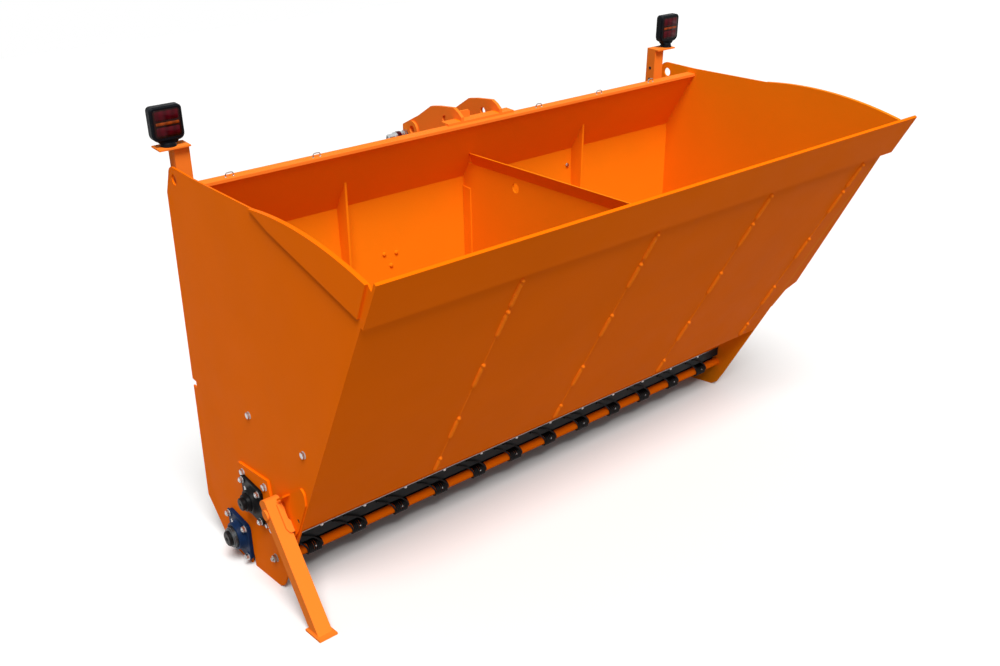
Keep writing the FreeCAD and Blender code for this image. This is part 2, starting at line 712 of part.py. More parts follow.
def cross_beam(name, front, middle, length):
    """Square tube along X, its front face against the back panel."""
    body = new_body(name)
    sketch = new_sketch(body, "YZ_Plane", f"-({length}) / 2")
    low = f"{middle} - beam_size / 2"
    high = f"{middle} + beam_size / 2"
    outline(sketch, rectangle(front, f"{front} + beam_size", low, high))
    outline(sketch, rectangle(f"{front} + tube_wall", f"{front} + beam_size - tube_wall",
                              f"{low} + tube_wall", f"{high} - tube_wall"))
    pad(body, sketch, length)


def upper_beam():
    cross_beam("upper_beam", f"({BEAM_BACK} - beam_size)", "beam_high_z", "mast_pitch + mast_width")


def lower_beam():
    cross_beam("lower_beam", behind_panel("beam_low_z + beam_size / 2"), "beam_low_z",
               "link_pitch - 2 * link_cheek_thick")


def mast_beam(side):
    """Rectangular tube up the panel, from the lower beam to the upper one, leaning as the panel does."""
    foot = "(beam_low_z + beam_size / 2)"
    tilt = -math.degrees(math.atan(number(PANEL_SLOPE)))
    body = new_body(f"mast_beam_{side}", in_machine(number(behind_panel(foot)), number(foot), tilt))
    middle = mirrored(side, "mast_pitch / 2")
    sketch = new_sketch(body, "XY_Plane", f"mast_depth * {PANEL_SLOPE}")
    half = "mast_width / 2"
    outline(sketch, rectangle(f"{middle} - {half}", f"{middle} + {half}", "0", "mast_depth"))
    outline(sketch, rectangle(f"{middle} - {half} + tube_wall", f"{middle} + {half} - tube_wall",
                              "tube_wall", "mast_depth - tube_wall"))
    pad(body, sketch, f"beam_high_z - beam_size / 2 - {foot} - 2 * mast_depth * {PANEL_SLOPE}")


def saddle():
    """Plate on the rim, under the coupler ears."""
    slab("saddle", "-saddle_width / 2", "saddle_width",
         rectangle("rim_y + rim_size * 0.6", "rim_y + rim_size + 27", "rim_z", "rim_z + saddle_thick"))


def coupler_ear(side):
    """Plate that stands on the saddle, reaches back over the upper beam and rests on it."""
    top = "(rim_z + saddle_thick)"
    knee = f"({BEAM_TOP} + 40)"
    notch = f"({on_band(knee)} + sheet_thick * sqrt(1 + {BAND_SLOPE}^2) + ear_wall_gap)"
    points = [
        ("ear_hole_y + 72", "ear_hole_z + 4"),
        ("ear_hole_y - 34", "ear_hole_z + 61"),
        ("ear_hole_y - 114", "ear_hole_z + 113"),
        ("ear_hole_y - 164", "ear_hole_z + 124"),
        ("ear_hole_y - 251", "ear_hole_z + 137"),
        ("ear_hole_y - 276", "ear_hole_z + 127"),
        ("rim_y + rim_size * 0.6", f"{top} + 14"),
        ("rim_y + rim_size * 0.6", top),
        (notch, top),
        (notch, knee),
        (f"{notch} + 30", BEAM_TOP),
        (BEAM_BACK, BEAM_TOP),
        (BEAM_BACK, "beam_high_z - beam_size / 3"),
        ("ear_hole_y - 10", "beam_high_z - beam_size / 3"),
        ("ear_hole_y + 72", "beam_high_z"),
    ]
    start = f"{SIDES[side]} * ear_pitch / 2 - ear_thick / 2"
    pin = ("ear_hole_y", "ear_hole_z")
    body = slab(f"coupler_ear_{side}", start, "ear_thick", points, None,
                [(pin, "ear_hole_radius"), (("ear_second_y", "ear_second_z"), "ear_hole_radius")])
    boss = outward(side, "ear_pitch / 2 + ear_thick / 2", "ear_boss_reach")
    add_rod(body, boss, "ear_boss_reach", pin, "ear_boss_radius", "ear_hole_radius")


def link_cheek(side):
    """Plate on the end of the lower beam, rounded about the lower link pin."""
    front = behind_panel("beam_low_z + beam_size / 2")
    pin = ("link_y", "beam_low_z")
    points = [(front, "beam_low_z - beam_size / 2"), at_angle(pin, "link_cheek_radius", -90),
              at_angle(pin, "link_cheek_radius", 0), at_angle(pin, "link_cheek_radius", 90),
              (front, "beam_low_z + beam_size / 2")]
    slab(f"link_cheek_{side}", outward(side, "link_pitch / 2 - link_cheek_thick", "link_cheek_thick"),
         "link_cheek_thick", points, {1: "link_cheek_radius", 2: "link_cheek_radius"},
         [(pin, "link_shank_radius")])


def link_pin(side):
    """Lower link pin: its free length, and the thinner shank through its cheek."""
    axis = ("link_y", "beam_low_z")
    body = rod(f"link_pin_{side}", outward(side, "link_pitch / 2", "link_pin_length"),
               "link_pin_length", axis, "link_pin_radius")
    shank = outward(side, "link_pitch / 2 - link_cheek_thick", "link_cheek_thick")
    add_rod(body, shank, "link_cheek_thick", axis, "link_shank_radius")


def hose_couplings():
    """Two couplings that point to the left from the left ear's nose."""
    start = "-(ear_pitch + ear_thick) / 2 - coupling_length"
    body = new_body("hose_couplings")
    body.AllowCompound = True
    for z in ("coupling_high_z", "coupling_high_z - coupling_pitch"):
        add_rod(body, start, "coupling_length", ("coupling_y", z), "coupling_radius")


# ---------------------------------------------------------------- lamps on their posts
def lamp_post(side):
    """Square tube with a shelf on its top and a tab that holds it to the end plate."""
    body = new_body(f"lamp_post_{side}")
    low_x = f"{SIDES[side]} * post_x - post_width / 2"
    tube = new_sketch(body, "XY_Plane", "post_low_z")
    outline(tube, rectangle(low_x, f"{low_x} + post_width", "lamp_y", "lamp_y + post_depth"))
    outline(tube, rectangle(f"{low_x} + post_wall", f"{low_x} + post_width - post_wall",
                            "lamp_y + post_wall", "lamp_y + post_depth - post_wall"))
    pad(body, tube, "post_top_z - post_low_z")
    shelf = new_sketch(body, "XY_Plane", "post_top_z")
    ends = [f"{SIDES[side]} * (post_x - post_width / 2)", f"{SIDES[side]} * (lamp_x + shelf_past)"]
    if side == "left":
        ends.reverse()
    back = "lamp_y + post_depth"
    outline(shelf, rectangle(ends[0], ends[1], f"{back} - shelf_depth", back))
    pad(body, shelf, "shelf_thick")
    width = f"{INNER} - post_x - post_width / 2"
    add_slab(body, outward(side, "post_x + post_width / 2", width), width,
             rectangle("lamp_y", "lamp_y + shelf_thick", "post_low_z", "post_low_z + post_tab_height"))


def lamp_outline(side, inset):
    """The housing's outline, or the lens's, with its cut corners."""
    middle = f"{SIDES[side]} * lamp_x"
    half = f"(lamp_width / 2 - {inset})"
    low = f"lamp_z - lamp_height / 2 + {inset}"
    high = f"lamp_z + lamp_height / 2 - {inset}"
    cut = f"(lamp_corner_low - {inset} / 2)"
    trim = f"(lamp_corner_top - {inset} / 2)"
    return [
        (f"{middle} - {half} + {cut}", low), (f"{middle} + {half} - {cut}", low),
        (f"{middle} + {half}", f"{low} + {cut}"), (f"{middle} + {half}", f"{high} - {trim}"),
        (f"{middle} + {half} - {trim}", high), (f"{middle} - {half} + {trim}", high),
        (f"{middle} - {half}", f"{high} - {trim}"), (f"{middle} - {half}", f"{low} + {cut}"),
    ]


def lamp(side):
    """Housing on its stem."""
    body = new_body(f"lamp_{side}")
    face = new_sketch(body, "XZ_Plane", "-(lamp_y + lamp_depth)")
    outline(face, lamp_outline(side, "0"))
    pad(body, face, "lamp_depth")
    stem = new_sketch(body, "XY_Plane", "post_top_z + shelf_thick")
    circle(stem, (f"{SIDES[side]} * lamp_x", "lamp_y + lamp_depth / 2"), "stem_radius")
    pad(body, stem, "lamp_z - post_top_z - shelf_thick - lamp_height / 2")


def lamp_lens(side):
    body = new_body(f"lamp_lens_{side}")
    face = new_sketch(body, "XZ_Plane", "-lamp_y")
    outline(face, lamp_outline(side, "lens_margin"))
    pad(body, face, "lens_thick")


# ---------------------------------------------------------------- roller, agitator and their bearings
def bearing(label, base, centre, flange, flange_thick, hub_radius, hub_reach, shaft_radius):
    """Square flange with a round hub, on the outside of the left end plate."""
    bore = f"{shaft_radius} + shaft_gap"
    y, z = centre
    square = rectangle(f"{y} - {flange} / 2", f"{y} + {flange} / 2",
                       f"{z} - {flange} / 2", f"{z} + {flange} / 2")
    body = slab(label, f"-{OUTER} - {base} - {flange_thick}", flange_thick, square, None,
                [(centre, bore)])
    hub = f"{hub_reach} - {flange_thick}"
    add_rod(body, f"-{OUTER} - {base} - {hub_reach}", hub, centre, hub_radius, bore)


def roller_bearing():
    bearing("roller_bearing", "0", ROLLER, "roller_flange", "roller_flange_thick",
            "roller_hub_radius", "roller_hub_reach", "roller_shaft_radius")


def agitator_bearing():
    bearing("agitator_bearing", "carrier_thick", AGITATOR, "agitator_flange", "agitator_flange_thick",
            "agitator_hub_radius", "agitator_hub_reach", "agitator_shaft_radius")


def carrier_plate():
    slab("carrier_plate", f"-{OUTER} - carrier_thick", "carrier_thick",
         leant_rectangle("carrier_width", "carrier_height", "carrier_y", "carrier_z"), None,
         [(AGITATOR, "agitator_shaft_radius + plate_bore_gap")])


def drum_end(body, start):
    """Disc in the drum's end, with four holes between its rim and the shaft."""
    sketch = new_sketch(body, "YZ_Plane", start)
    circle(sketch, OWN_AXIS, "drum_radius - drum_wall / 2")
    for turn in (0, 90, 180, 270):
        middle = at_angle(OWN_AXIS, "(drum_radius + roller_shaft_radius) / 2", turn)
        circle(sketch, middle, "disc_hole_radius")
    pad(body, sketch, "drum_disc")


def spreading_roller():
    """Drum with bars along it, on a shaft that runs through both ends."""
    drum = f"({INNER} - roller_end_gap)"
    left = f"-{OUTER} - roller_hub_reach - shaft_stand"
    body = rod("spreading_roller", left, "body_width + roller_hub_reach + shaft_stand + shaft_right",
               OWN_AXIS, "roller_shaft_radius", None, in_machine(s("roller_y"), s("roller_z")))
    drum_end(body, f"-{drum}")
    drum_end(body, f"{drum} - drum_disc")
    add_rod(body, f"-{drum}", f"2 * {drum}", OWN_AXIS, "drum_radius", "drum_radius - drum_wall")
    section = rectangle("-bar_width / 2", "bar_width / 2", "drum_radius - drum_wall / 2", "roller_radius")
    bar = add_slab(body, f"-{drum}", f"2 * {drum}", section)
    bars = body.newObject("PartDesign::PolarPattern", "roller_bars")
    bars.Originals = [bar]
    bars.Axis = (along_machine(body), [""])
    bars.setExpression("Occurrences", cell("bar_count"))
    body.Tip = bars


def agitator():
    """Shaft with two rows of fingers, a quarter turn apart."""
    left = f"-{OUTER} - carrier_thick - agitator_hub_reach - shaft_stand"
    body = rod("agitator", left,
               "body_width + carrier_thick + agitator_hub_reach + shaft_stand + shaft_right",
               AGITATOR, "agitator_shaft_radius")
    half = "finger_thick / 2"
    rows = [("agitator_reach", half, "-0.25"), (half, "agitator_reach", "0.25")]
    for reach_y, reach_z, shift in rows:
        start = f"-(finger_count - 1) * finger_pitch / 2 + {shift} * finger_pitch - {half}"
        finger = add_slab(body, start, "finger_thick",
                          rectangle(f"agitator_y - {reach_y}", f"agitator_y + {reach_y}",
                                    f"agitator_z - {reach_z}", f"agitator_z + {reach_z}"))
        row = body.newObject("PartDesign::LinearPattern", "agitator_row")
        row.Originals = [finger]
        row.Direction = (along_machine(body), [""])
        row.setExpression("Length", cell("finger_pitch * (finger_count - 1)"))
        row.setExpression("Occurrences", cell("finger_count"))
        body.Tip = row


def drive_cover():
    """Sheet cover over the chain on the right, open towards the end plate."""
    def shape(inset):
        return [(f"agitator_y - 80 + {inset}", f"agitator_z + 110 - {inset}"),
                (f"agitator_y - 80 + {inset}", f"agitator_z - 110 + {inset}"),
                (f"roller_y - 88 + {inset}", f"roller_z - 72 + {inset}"),
                (f"roller_y + 145", f"roller_z - 72 + {inset}"),
                (f"motor_y + 45 - {inset}", f"motor_z - 100 + {inset}"),
                (f"motor_y + 45 - {inset}", f"motor_z + 60 - {inset}"),
                (f"agitator_y + 170 - {inset}", f"agitator_z + 110 - {inset}")]
    body = slab("drive_cover", OUTER, "cover_reach", shape("0"))
    hollow = new_sketch(body, "YZ_Plane", OUTER)
    outline(hollow, shape("cover_wall"))
    pocket(body, hollow, "cover_reach - cover_wall", reverse=True)


def hydraulic_motor():
    """Motor block on the inside of the right end plate, behind the back wall."""
    half = "motor_size / 2"
    slab("hydraulic_motor", f"{INNER} - motor_length", "motor_length",
         rectangle(f"motor_y - {half}", f"motor_y + {half}", f"motor_z - {half}", f"motor_z + {half}"))


# ---------------------------------------------------------------- gate under the front wall
def gate_bar():
    """Clamp bar over the strip, along the whole flange."""
    back = "flange_y - strip_thick"
    slab("gate_bar", f"-{INNER}", f"2 * {INNER}",
         rectangle(f"{back} - bar_thick", back, "flange_low_z", "flange_top_z"))


def gate_strip():
    """Rubber strip that hangs from the flange and slants back towards the roller."""
    body = new_body("gate_strip")
    sketch = new_sketch(body, "YZ_Plane", f"-{INNER}")
    bent_sheet(sketch, [("flange_y", "flange_top_z"), ("flange_y", "flange_low_z"),
                        ("strip_end_y", "strip_end_z")], "strip_thick", -1)
    pad(body, sketch, f"2 * {INNER}")


def spring_pipe():
    rod("spring_pipe", f"-{INNER}", f"2 * {INNER}", ("pipe_y", "pipe_z"), "pipe_radius",
        "pipe_radius - pipe_wall")


def gate_springs():
    """The coils of the springs, as sleeves spaced evenly along the pipe."""
    body = new_body("gate_springs")
    body.AllowCompound = True
    start = "-(spring_count - 1) * spring_pitch / 2 - spring_length / 2"
    coil = add_rod(body, start, "spring_length", ("pipe_y", "pipe_z"), "spring_radius",
                   "pipe_radius + spring_gap")
    row = body.newObject("PartDesign::LinearPattern", "spring_row")
    row.Originals = [coil]
    row.Direction = (along_machine(body), [""])
    row.setExpression("Length", cell("spring_pitch * (spring_count - 1)"))
    row.setExpression("Occurrences", cell("spring_count"))
    body.Tip = row


# ---------------------------------------------------------------- parking leg on the left end plate
LEG_OUTER = "(body_width / 2 + leg_stand_off + leg_size)"


def leg_bracket():
    """Plate on the end plate, with a lug over the leg's top and the hole for the folded leg."""
    points = [
        ("pivot_y + bracket_rear", "pivot_z - bracket_low"),
        ("bracket_back_y", "bracket_back_z"),
        ("bracket_crest_y", "bracket_crest_z"),
        ("bracket_top_y + bracket_round", "bracket_top_z"),
        ("bracket_top_y", "bracket_top_z - bracket_round"),
        ("bracket_top_y", "bracket_knee_z"),
        ("bracket_chin_y", "bracket_chin_z"),
        ("bracket_toe_y", "pivot_z - bracket_low"),
    ]
    body = slab("leg_bracket", f"-{OUTER} - bracket_thick", "bracket_thick", points,
                {3: "bracket_round"}, [(("lock_hole_y", "lock_hole_z"), "lock_hole_radius")])
    slope = "(bracket_crest_z - bracket_back_z) / (bracket_crest_y - bracket_back_y)"
    start = f"bracket_back_z + (lug_start_y - bracket_back_y) * {slope}"
    lug = [("bracket_crest_y", "bracket_crest_z - 1.3 * bracket_thick"),
           ("lug_start_y", f"{start} - 1.3 * bracket_thick"),
           ("lug_start_y", start),
           ("bracket_crest_y", "bracket_crest_z")]
    add_slab(body, f"-{OUTER} - bracket_reach", "bracket_reach - bracket_thick / 2", lug)


def leg_pivot():
    """Pin on the bracket, with a collar inside the leg and a head outside it."""
    collar = "leg_stand_off - bracket_thick - pivot_side_gap"
    body = rod("leg_pivot", f"-{LEG_OUTER} - pivot_side_gap - pivot_head",
               f"{LEG_OUTER} + pivot_side_gap + pivot_head - body_width / 2 - bracket_thick",
               PIVOT, "pivot_radius")
    add_rod(body, f"-{OUTER} - bracket_thick - ({collar})", collar, PIVOT, "pivot_collar_radius")
    add_rod(body, f"-{LEG_OUTER} - pivot_side_gap - pivot_head", "pivot_head", PIVOT,
            "pivot_collar_radius")


def parking_leg():
    """Square leg on its pivot, cut level at its foot, with the foot plate flat on the ground."""
    half = "leg_size / 2"
    foot = "foot_thick"
    points = [
        down_leg("-leg_top", half),
        down_leg("-leg_top", f"-{half}"),
        down_leg(leg_to_ground(f"-{half}", foot), f"-{half}"),
        down_leg(leg_to_ground(half, foot), half),
    ]
    body = slab("parking_leg", f"-{LEG_OUTER}", "leg_size", points, {0: "-leg_crown"},
                [(PIVOT, "pivot_radius + shaft_gap")])
    y, z = down_leg(leg_to_ground("0", "foot_thick / 2"), "0")
    add_slab(body, f"-{LEG_OUTER} + leg_size / 2 - foot_width / 2", "foot_width",
             leant_rectangle("foot_length", "foot_thick", f"({y})", f"({z})"))


# ---------------------------------------------------------------- build, check and write
for side_name in SIDES:
    end_plate(side_name)
    end_doubler(side_name)
    back_rib(side_name)
    mast_beam(side_name)
    coupler_ear(side_name)
    link_cheek(side_name)
    link_pin(side_name)
    lamp_post(side_name)
    lamp(side_name)
    lamp_lens(side_name)
back_wall()
top_rim()
front_wall()
front_lip()
front_guard()
partition()
upper_beam()
lower_beam()
saddle()
hose_couplings()
roller_bearing()
agitator_bearing()
carrier_plate()
spreading_roller()
agitator()
drive_cover()
hydraulic_motor()
gate_bar()
gate_strip()
spring_pipe()
gate_springs()
leg_bracket()
leg_pivot()
parking_leg()

doc.removeObject("gauge")
doc.recompute()
for item in doc.Objects:
    if "Invalid" in item.State or "Error" in item.State:
        raise RuntimeError(f"{item.Label} failed: {item.State}")

os.makedirs("parts", exist_ok=True)
for piece in SUB_PARTS:
    shape = piece.Shape
    if shape.isNull() or not shape.isValid() or shape.Volume <= 0:
        raise RuntimeError(f"{piece.Label} has no valid shape")
    shape.exportStep(f"parts/{piece.Label}.step")
    box = shape.BoundBox
    print(f"{piece.Label:20s} {len(shape.Solids)} solid(s) {shape.Volume / 1000:12.1f} cm3  "
          f"X {box.XMin:8.1f} {box.XMax:8.1f}  Y {box.YMin:8.1f} {box.YMax:8.1f}  "
          f"Z {box.ZMin:8.1f} {box.ZMax:8.1f}")
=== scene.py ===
"""Finishes and small fittings of a mounted sand spreader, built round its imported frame.

The machine stands leaning forward by ten degrees.  Places are given in its own upright frame, in
millimetres: X along its width, Y back towards the tractor and Z up.  place() turns them to metres
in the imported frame.
"""

import json
import math
from typing import NamedTuple

import bpy
import numpy as np
from bpy.props import FloatProperty, FloatVectorProperty, IntProperty, PointerProperty
from bpy.types import Operator, Panel, PropertyGroup
from mathutils import Matrix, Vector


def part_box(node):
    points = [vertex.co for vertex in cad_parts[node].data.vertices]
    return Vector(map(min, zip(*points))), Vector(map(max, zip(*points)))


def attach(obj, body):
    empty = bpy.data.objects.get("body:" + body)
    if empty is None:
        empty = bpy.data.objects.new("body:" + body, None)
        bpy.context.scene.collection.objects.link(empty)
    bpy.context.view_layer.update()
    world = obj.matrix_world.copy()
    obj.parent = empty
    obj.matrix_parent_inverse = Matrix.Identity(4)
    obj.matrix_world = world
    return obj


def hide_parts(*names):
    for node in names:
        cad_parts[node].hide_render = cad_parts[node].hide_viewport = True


bl_info = {
    "name": "Sand spreader",
    "version": (1, 0, 0),
    "blender": (4, 5, 0),
    "location": "3D View > Sidebar > Spreader",
    "description": "Builds the finishes, fasteners, springs, lamps and welds of a sand spreader",
    "category": "Object",
}

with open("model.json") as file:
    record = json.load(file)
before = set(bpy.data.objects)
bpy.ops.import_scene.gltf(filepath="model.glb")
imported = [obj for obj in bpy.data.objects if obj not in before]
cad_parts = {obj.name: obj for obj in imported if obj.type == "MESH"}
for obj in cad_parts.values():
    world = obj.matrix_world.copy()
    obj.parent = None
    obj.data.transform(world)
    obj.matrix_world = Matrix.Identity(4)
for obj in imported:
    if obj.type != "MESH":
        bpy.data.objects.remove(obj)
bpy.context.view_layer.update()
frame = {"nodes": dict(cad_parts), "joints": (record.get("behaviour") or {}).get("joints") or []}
NODES = frame["nodes"]
MM = 1000.0  # millimetres in a metre

# ---- the machine's own upright frame
LEAN = math.radians(10)
AXES = np.array([[1, 0, 0], [0, math.cos(LEAN), math.sin(LEAN)],
                 [0, -math.sin(LEAN), math.cos(LEAN)]])
RIGHT, REAR, HIGH = np.eye(3)
LEFT, FORWARD, LOW = -np.eye(3)

# Lines that run along X, as y and z
ROLLER = np.array([-27, 117])
AGITATOR = np.array([-185, 358])
PIVOT = np.array([-385, 436])  # of the parking leg
PIPE = np.array([-303, 172])  # that the springs sit on
LINK = np.array([265, 330])  # of the lower link pins

OUTER, INNER = 1100, 1094  # the end plates' two faces, from the middle
FRONT_Y, FRONT_Z = (-349, -985), (129, 1415)  # the front wall's foot and top
BACK_Y, BACK_Z = (84, 108, -27), (250, 1164, 1404)  # the back wall's foot, fold and top
FRONT_SLOPE = (FRONT_Y[1] - FRONT_Y[0]) / (FRONT_Z[1] - FRONT_Z[0])
FRONT_FACE = np.array([0, -1, FRONT_SLOPE]) / math.hypot(1, FRONT_SLOPE)

ROLLER_JOINT = [joint for joint in frame["joints"] if joint["name"] == "roller_spin"][0]
OWN_ORIGIN = np.array(ROLLER_JOINT["pos_m"]) - np.array([0, *ROLLER]) @ AXES / MM


def place(points):
    """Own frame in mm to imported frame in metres: turned by the lean, then shifted."""
    return OWN_ORIGIN + np.asarray(points, float) @ AXES / MM


def on_front(z):
    """Y of the front wall's outer face at height z: a straight line down the slope."""
    return np.interp(z, FRONT_Z, FRONT_Y)


def on_back(z):
    """Y of the back wall's inner face at height z: the panel's line, then the leaning band's."""
    return np.interp(z, BACK_Z, BACK_Y)


def span(node):
    """Lowest and highest x of a node, in mm."""
    low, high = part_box(node)
    return low.x * MM, high.x * MM


# ---- sizes and colours a user may change
def shade(code):
    """An sRGB hex value as linear light: a power of 2.4 above a short straight part near black."""
    value = np.array([int(code[i:i + 2], 16) for i in (1, 3, 5)]) / 255
    linear = np.where(value <= 0.04045, value / 12.92, ((value + 0.055) / 1.055) ** 2.4)
    return (*linear.tolist(), 1.0)


def colour(name, description, default):
    return FloatVectorProperty(name=name, description=description, default=shade(default)[:3],
                               size=3, min=0.0, max=1.0, subtype="COLOR")


def length(name, description, default):
    return FloatProperty(name=name, description=description, default=default / MM,
                         min=0.0, unit="LENGTH", precision=4)


def angle(name, description, default):
    return FloatProperty(name=name, description=description, default=math.radians(default),
                         unit="ROTATION")


class SpreaderSizes(PropertyGroup):
    wire: length("Spring wire", "Diameter of the wire of the gate springs", 6.3)
    coil: length("Spring coil", "Radius of the middle of the wire, round the pipe", 21)
    coil_turns: IntProperty(name="Turns", description="Close turns at each end of a gate spring",
                            default=3, min=1, max=3)
    bead: length("Weld bead", "Width of the weld beads", 8)
    seam: length("Seam", "Width of the stitches down the front wall", 17)
    stitch: length("Stitch", "Height of one stitch of weld on the front wall", 104)
    bearing_stud: length("Bearing studs", "Thread diameter of the roller bearing's studs", 12)
    carrier_stud: length("Carrier studs", "Thread diameter of the agitator bearing's studs", 11)
    gate_screw: length("Gate screws", "Thread diameter of the screws of the gate bar", 8)


class SpreaderColours(PropertyGroup):
    paint: colour("Paint", "Orange powder coat of the walls and end plates", "#FA7206")
    # Painted light: a lighter, yellower copy of the paint, for the light thrown round inside the
    # hopper.
    inside: colour("Inside", "Slightly lighter coat of the sheets inside the hopper", "#FA8910")
    # Painted sheen: a paler copy of the paint, for the sheen on faces turned up to the light.
    fittings: colour("Fittings", "Paler coat of the rim, leg, ears and lamp posts", "#F9812A")
    # Painted highlight: a lighter copy of the paint on the welds, for the light that the beads
    # catch.
    weld: colour("Coated weld", "Orange coat where it lies over a rough weld", "#FF8018")
    bearing: colour("Bearing", "Blue enamel on the cast bearing", "#0A2549")
    black: colour("Black", "Black enamel and oiled spring wire", "#0B0B0C")
    bar: colour("Gate bar", "Dark grey enamel on the gate's clamp bar", "#1C2022")
    rubber: colour("Rubber", "Rubber strip of the gate", "#131212")
    zinc: colour("Zinc", "Zinc plating on fasteners", "#C8CACB")
    steel: colour("Steel", "Bare turned steel", "#A9A7A2")
    oiled: colour("Oiled steel", "Dark oiled steel of the bearing rings", "#54585A")
    lens: colour("Lens", "Red acrylic of the lamps", "#4A0210")
    smoked: colour("Smoked", "Smoked pane round the red lenses", "#260A06")
    amber: colour("Amber", "Amber bar of the lamps", "#8E3C0C")
    plastic: colour("Plastic", "Black plastic of the lamps", "#0B0E13")
    floor: colour("Floor", "Pale studio floor", "#F3F3F2")


class SpreaderView(PropertyGroup):
    azimuth: angle("Azimuth", "Camera's turn about the machine's upright", -39.54)
    elevation: angle("Elevation", "Camera's height over the machine", 28.66)
    roll: angle("Roll", "Camera's roll", 0.51)


GROUPS = {"spreader_sizes": SpreaderSizes, "spreader_colours": SpreaderColours,
          "spreader_view": SpreaderView}


def group():
    """The three groups of values that the sidebar shows."""
    return [getattr(bpy.context.scene, name) for name in GROUPS]


# ---- finishes
class Surface(NamedTuple):
    """What a finish is made up of, with its sizes in mm."""
    pattern: tuple  # the texture, its settings and its inputs
    relief: tuple  # the bump's strength and its depth
    darker: float  # share of the base colour's light that is left where it is darkest
    wander: dict  # what noise spreads: the noise's size, and the lowest and highest value
    constants: dict  # the shader's constants


NOISE = "ShaderNodeTexNoise"
STRIPES = ("ShaderNodeTexWave", {"wave_type": "BANDS", "bands_direction": "X"})
STRIPE_SCALE = MM * math.tau / 20  # a wave texture turns 20 radians in a unit
CLOUDS = {"Detail": 3.0, "Roughness": 0.55}  # the noise that spreads a value
SPREAD = {"From Min": 0.3, "From Max": 0.7}  # the range that most of that noise lies in

# Polyester powder coat on sheet steel, sprayed and baked: a soft gloss over a fine orange peel, a
# little duller and darker in broad patches.  The peel is about 3 mm, drawn at 7 mm to show.
POWDER_COAT = Surface(
    (NOISE, {}, {"Scale": MM / 7, "Detail": 1.5, "Roughness": 0.4}), (0.10, 0.6), 0.95,
    {"Dark": (420, 0, 1), "Roughness": (90, 0.31, 0.45)},
    {"IOR": 1.5, "Specular IOR Level": 0.004})

# The same coat over a weld, whose ripples leave it duller.
WELD_COAT = POWDER_COAT._replace(wander={"Dark": (420, 0, 1), "Roughness": (90, 0.50, 0.64)})

# Brushed enamel on sand-cast iron: the sand's grain of about 1.5 mm shows through, drawn at 3 mm,
# and the coat is thinner and darker in the hollows.
ENAMEL_CASTING = Surface(
    (NOISE, {}, {"Scale": MM / 3, "Detail": 4, "Roughness": 0.65}), (0.45, 0.8), 0.62,
    {"Dark": (20, 0, 1), "Roughness": (30, 0.36, 0.54)},
    {"IOR": 1.5, "Specular IOR Level": 0.08})

# Oiled black enamel on drawn wire and bar: a thin dark coat with a satin sheen that varies along
# it, over a finer unevenness drawn at 4 mm.
ENAMEL_STEEL = Surface(
    (NOISE, {}, {"Scale": MM / 4, "Detail": 2}), (0.15, 0.4), 0.55,
    {"Dark": (60, 0, 1), "Roughness": (25, 0.34, 0.56)},
    {"IOR": 1.5, "Specular IOR Level": 0.14})

# Moulded rubber sheet: matt, with the faint grain of its fabric, about 2 mm and drawn at 4 mm, and
# dust in patches.
MOULDED_RUBBER = Surface(
    ("ShaderNodeTexVoronoi", {}, {"Scale": MM / 4}), (0.2, 0.5), 0.6,
    {"Dark": (80, 0, 1), "Roughness": (50, 0.62, 0.82)},
    {"IOR": 1.52, "Specular IOR Level": 0.15})

# Zinc plating on steel: a bright metal whose crystals, under 1 mm and drawn at 4 mm, cloud it.
ZINC_PLATE = Surface(
    (NOISE, {}, {"Scale": MM / 4, "Detail": 3}), (0.12, 0.3), 0.78,
    {"Dark": (15, 0, 1), "Roughness": (12, 0.23, 0.40)}, {"Metallic": 1})

# Ground steel under a film of oil and dust: the same clouds, duller.
OILED_STEEL = ZINC_PLATE._replace(wander={"Dark": (15, 0, 1), "Roughness": (12, 0.35, 0.52)})

# Steel turned on a lathe: rings round the machine's X axis that streak its shine.  They are about
# 1 mm apart, drawn 15.7 mm apart to show.
TURNED_STEEL = Surface(
    (*STRIPES, {"Scale": STRIPE_SCALE / 15.708, "Distortion": 0.6, "Detail": 1}),
    (0.2, 0.3), 0.7, {"Dark": (30, 0, 1), "Roughness": (20, 0.24, 0.42)},
    {"Metallic": 1})

# Moulded plastic with a fine spark-eroded grain, drawn at 2 mm, that breaks up its sheen.
MOULDED_PLASTIC = Surface(
    (NOISE, {}, {"Scale": MM / 2, "Detail": 2}), (0.18, 0.3), 0.75,
    {"Dark": (30, 0, 1), "Roughness": (20, 0.42, 0.56)},
    {"IOR": 1.5, "Specular IOR Level": 0.07})

# Moulded acrylic over a dark reflector: upright flutes darken it in stripes.  They are about 4 mm
# apart, drawn 25.1 mm apart to show.
ACRYLIC = Surface(
    (*STRIPES, {"Scale": STRIPE_SCALE / 25.133, "Distortion": 0}), (0.5, 1), 0.6, {},
    {"Roughness": 0.3, "IOR": 1.49, "Specular IOR Level": 0.12})

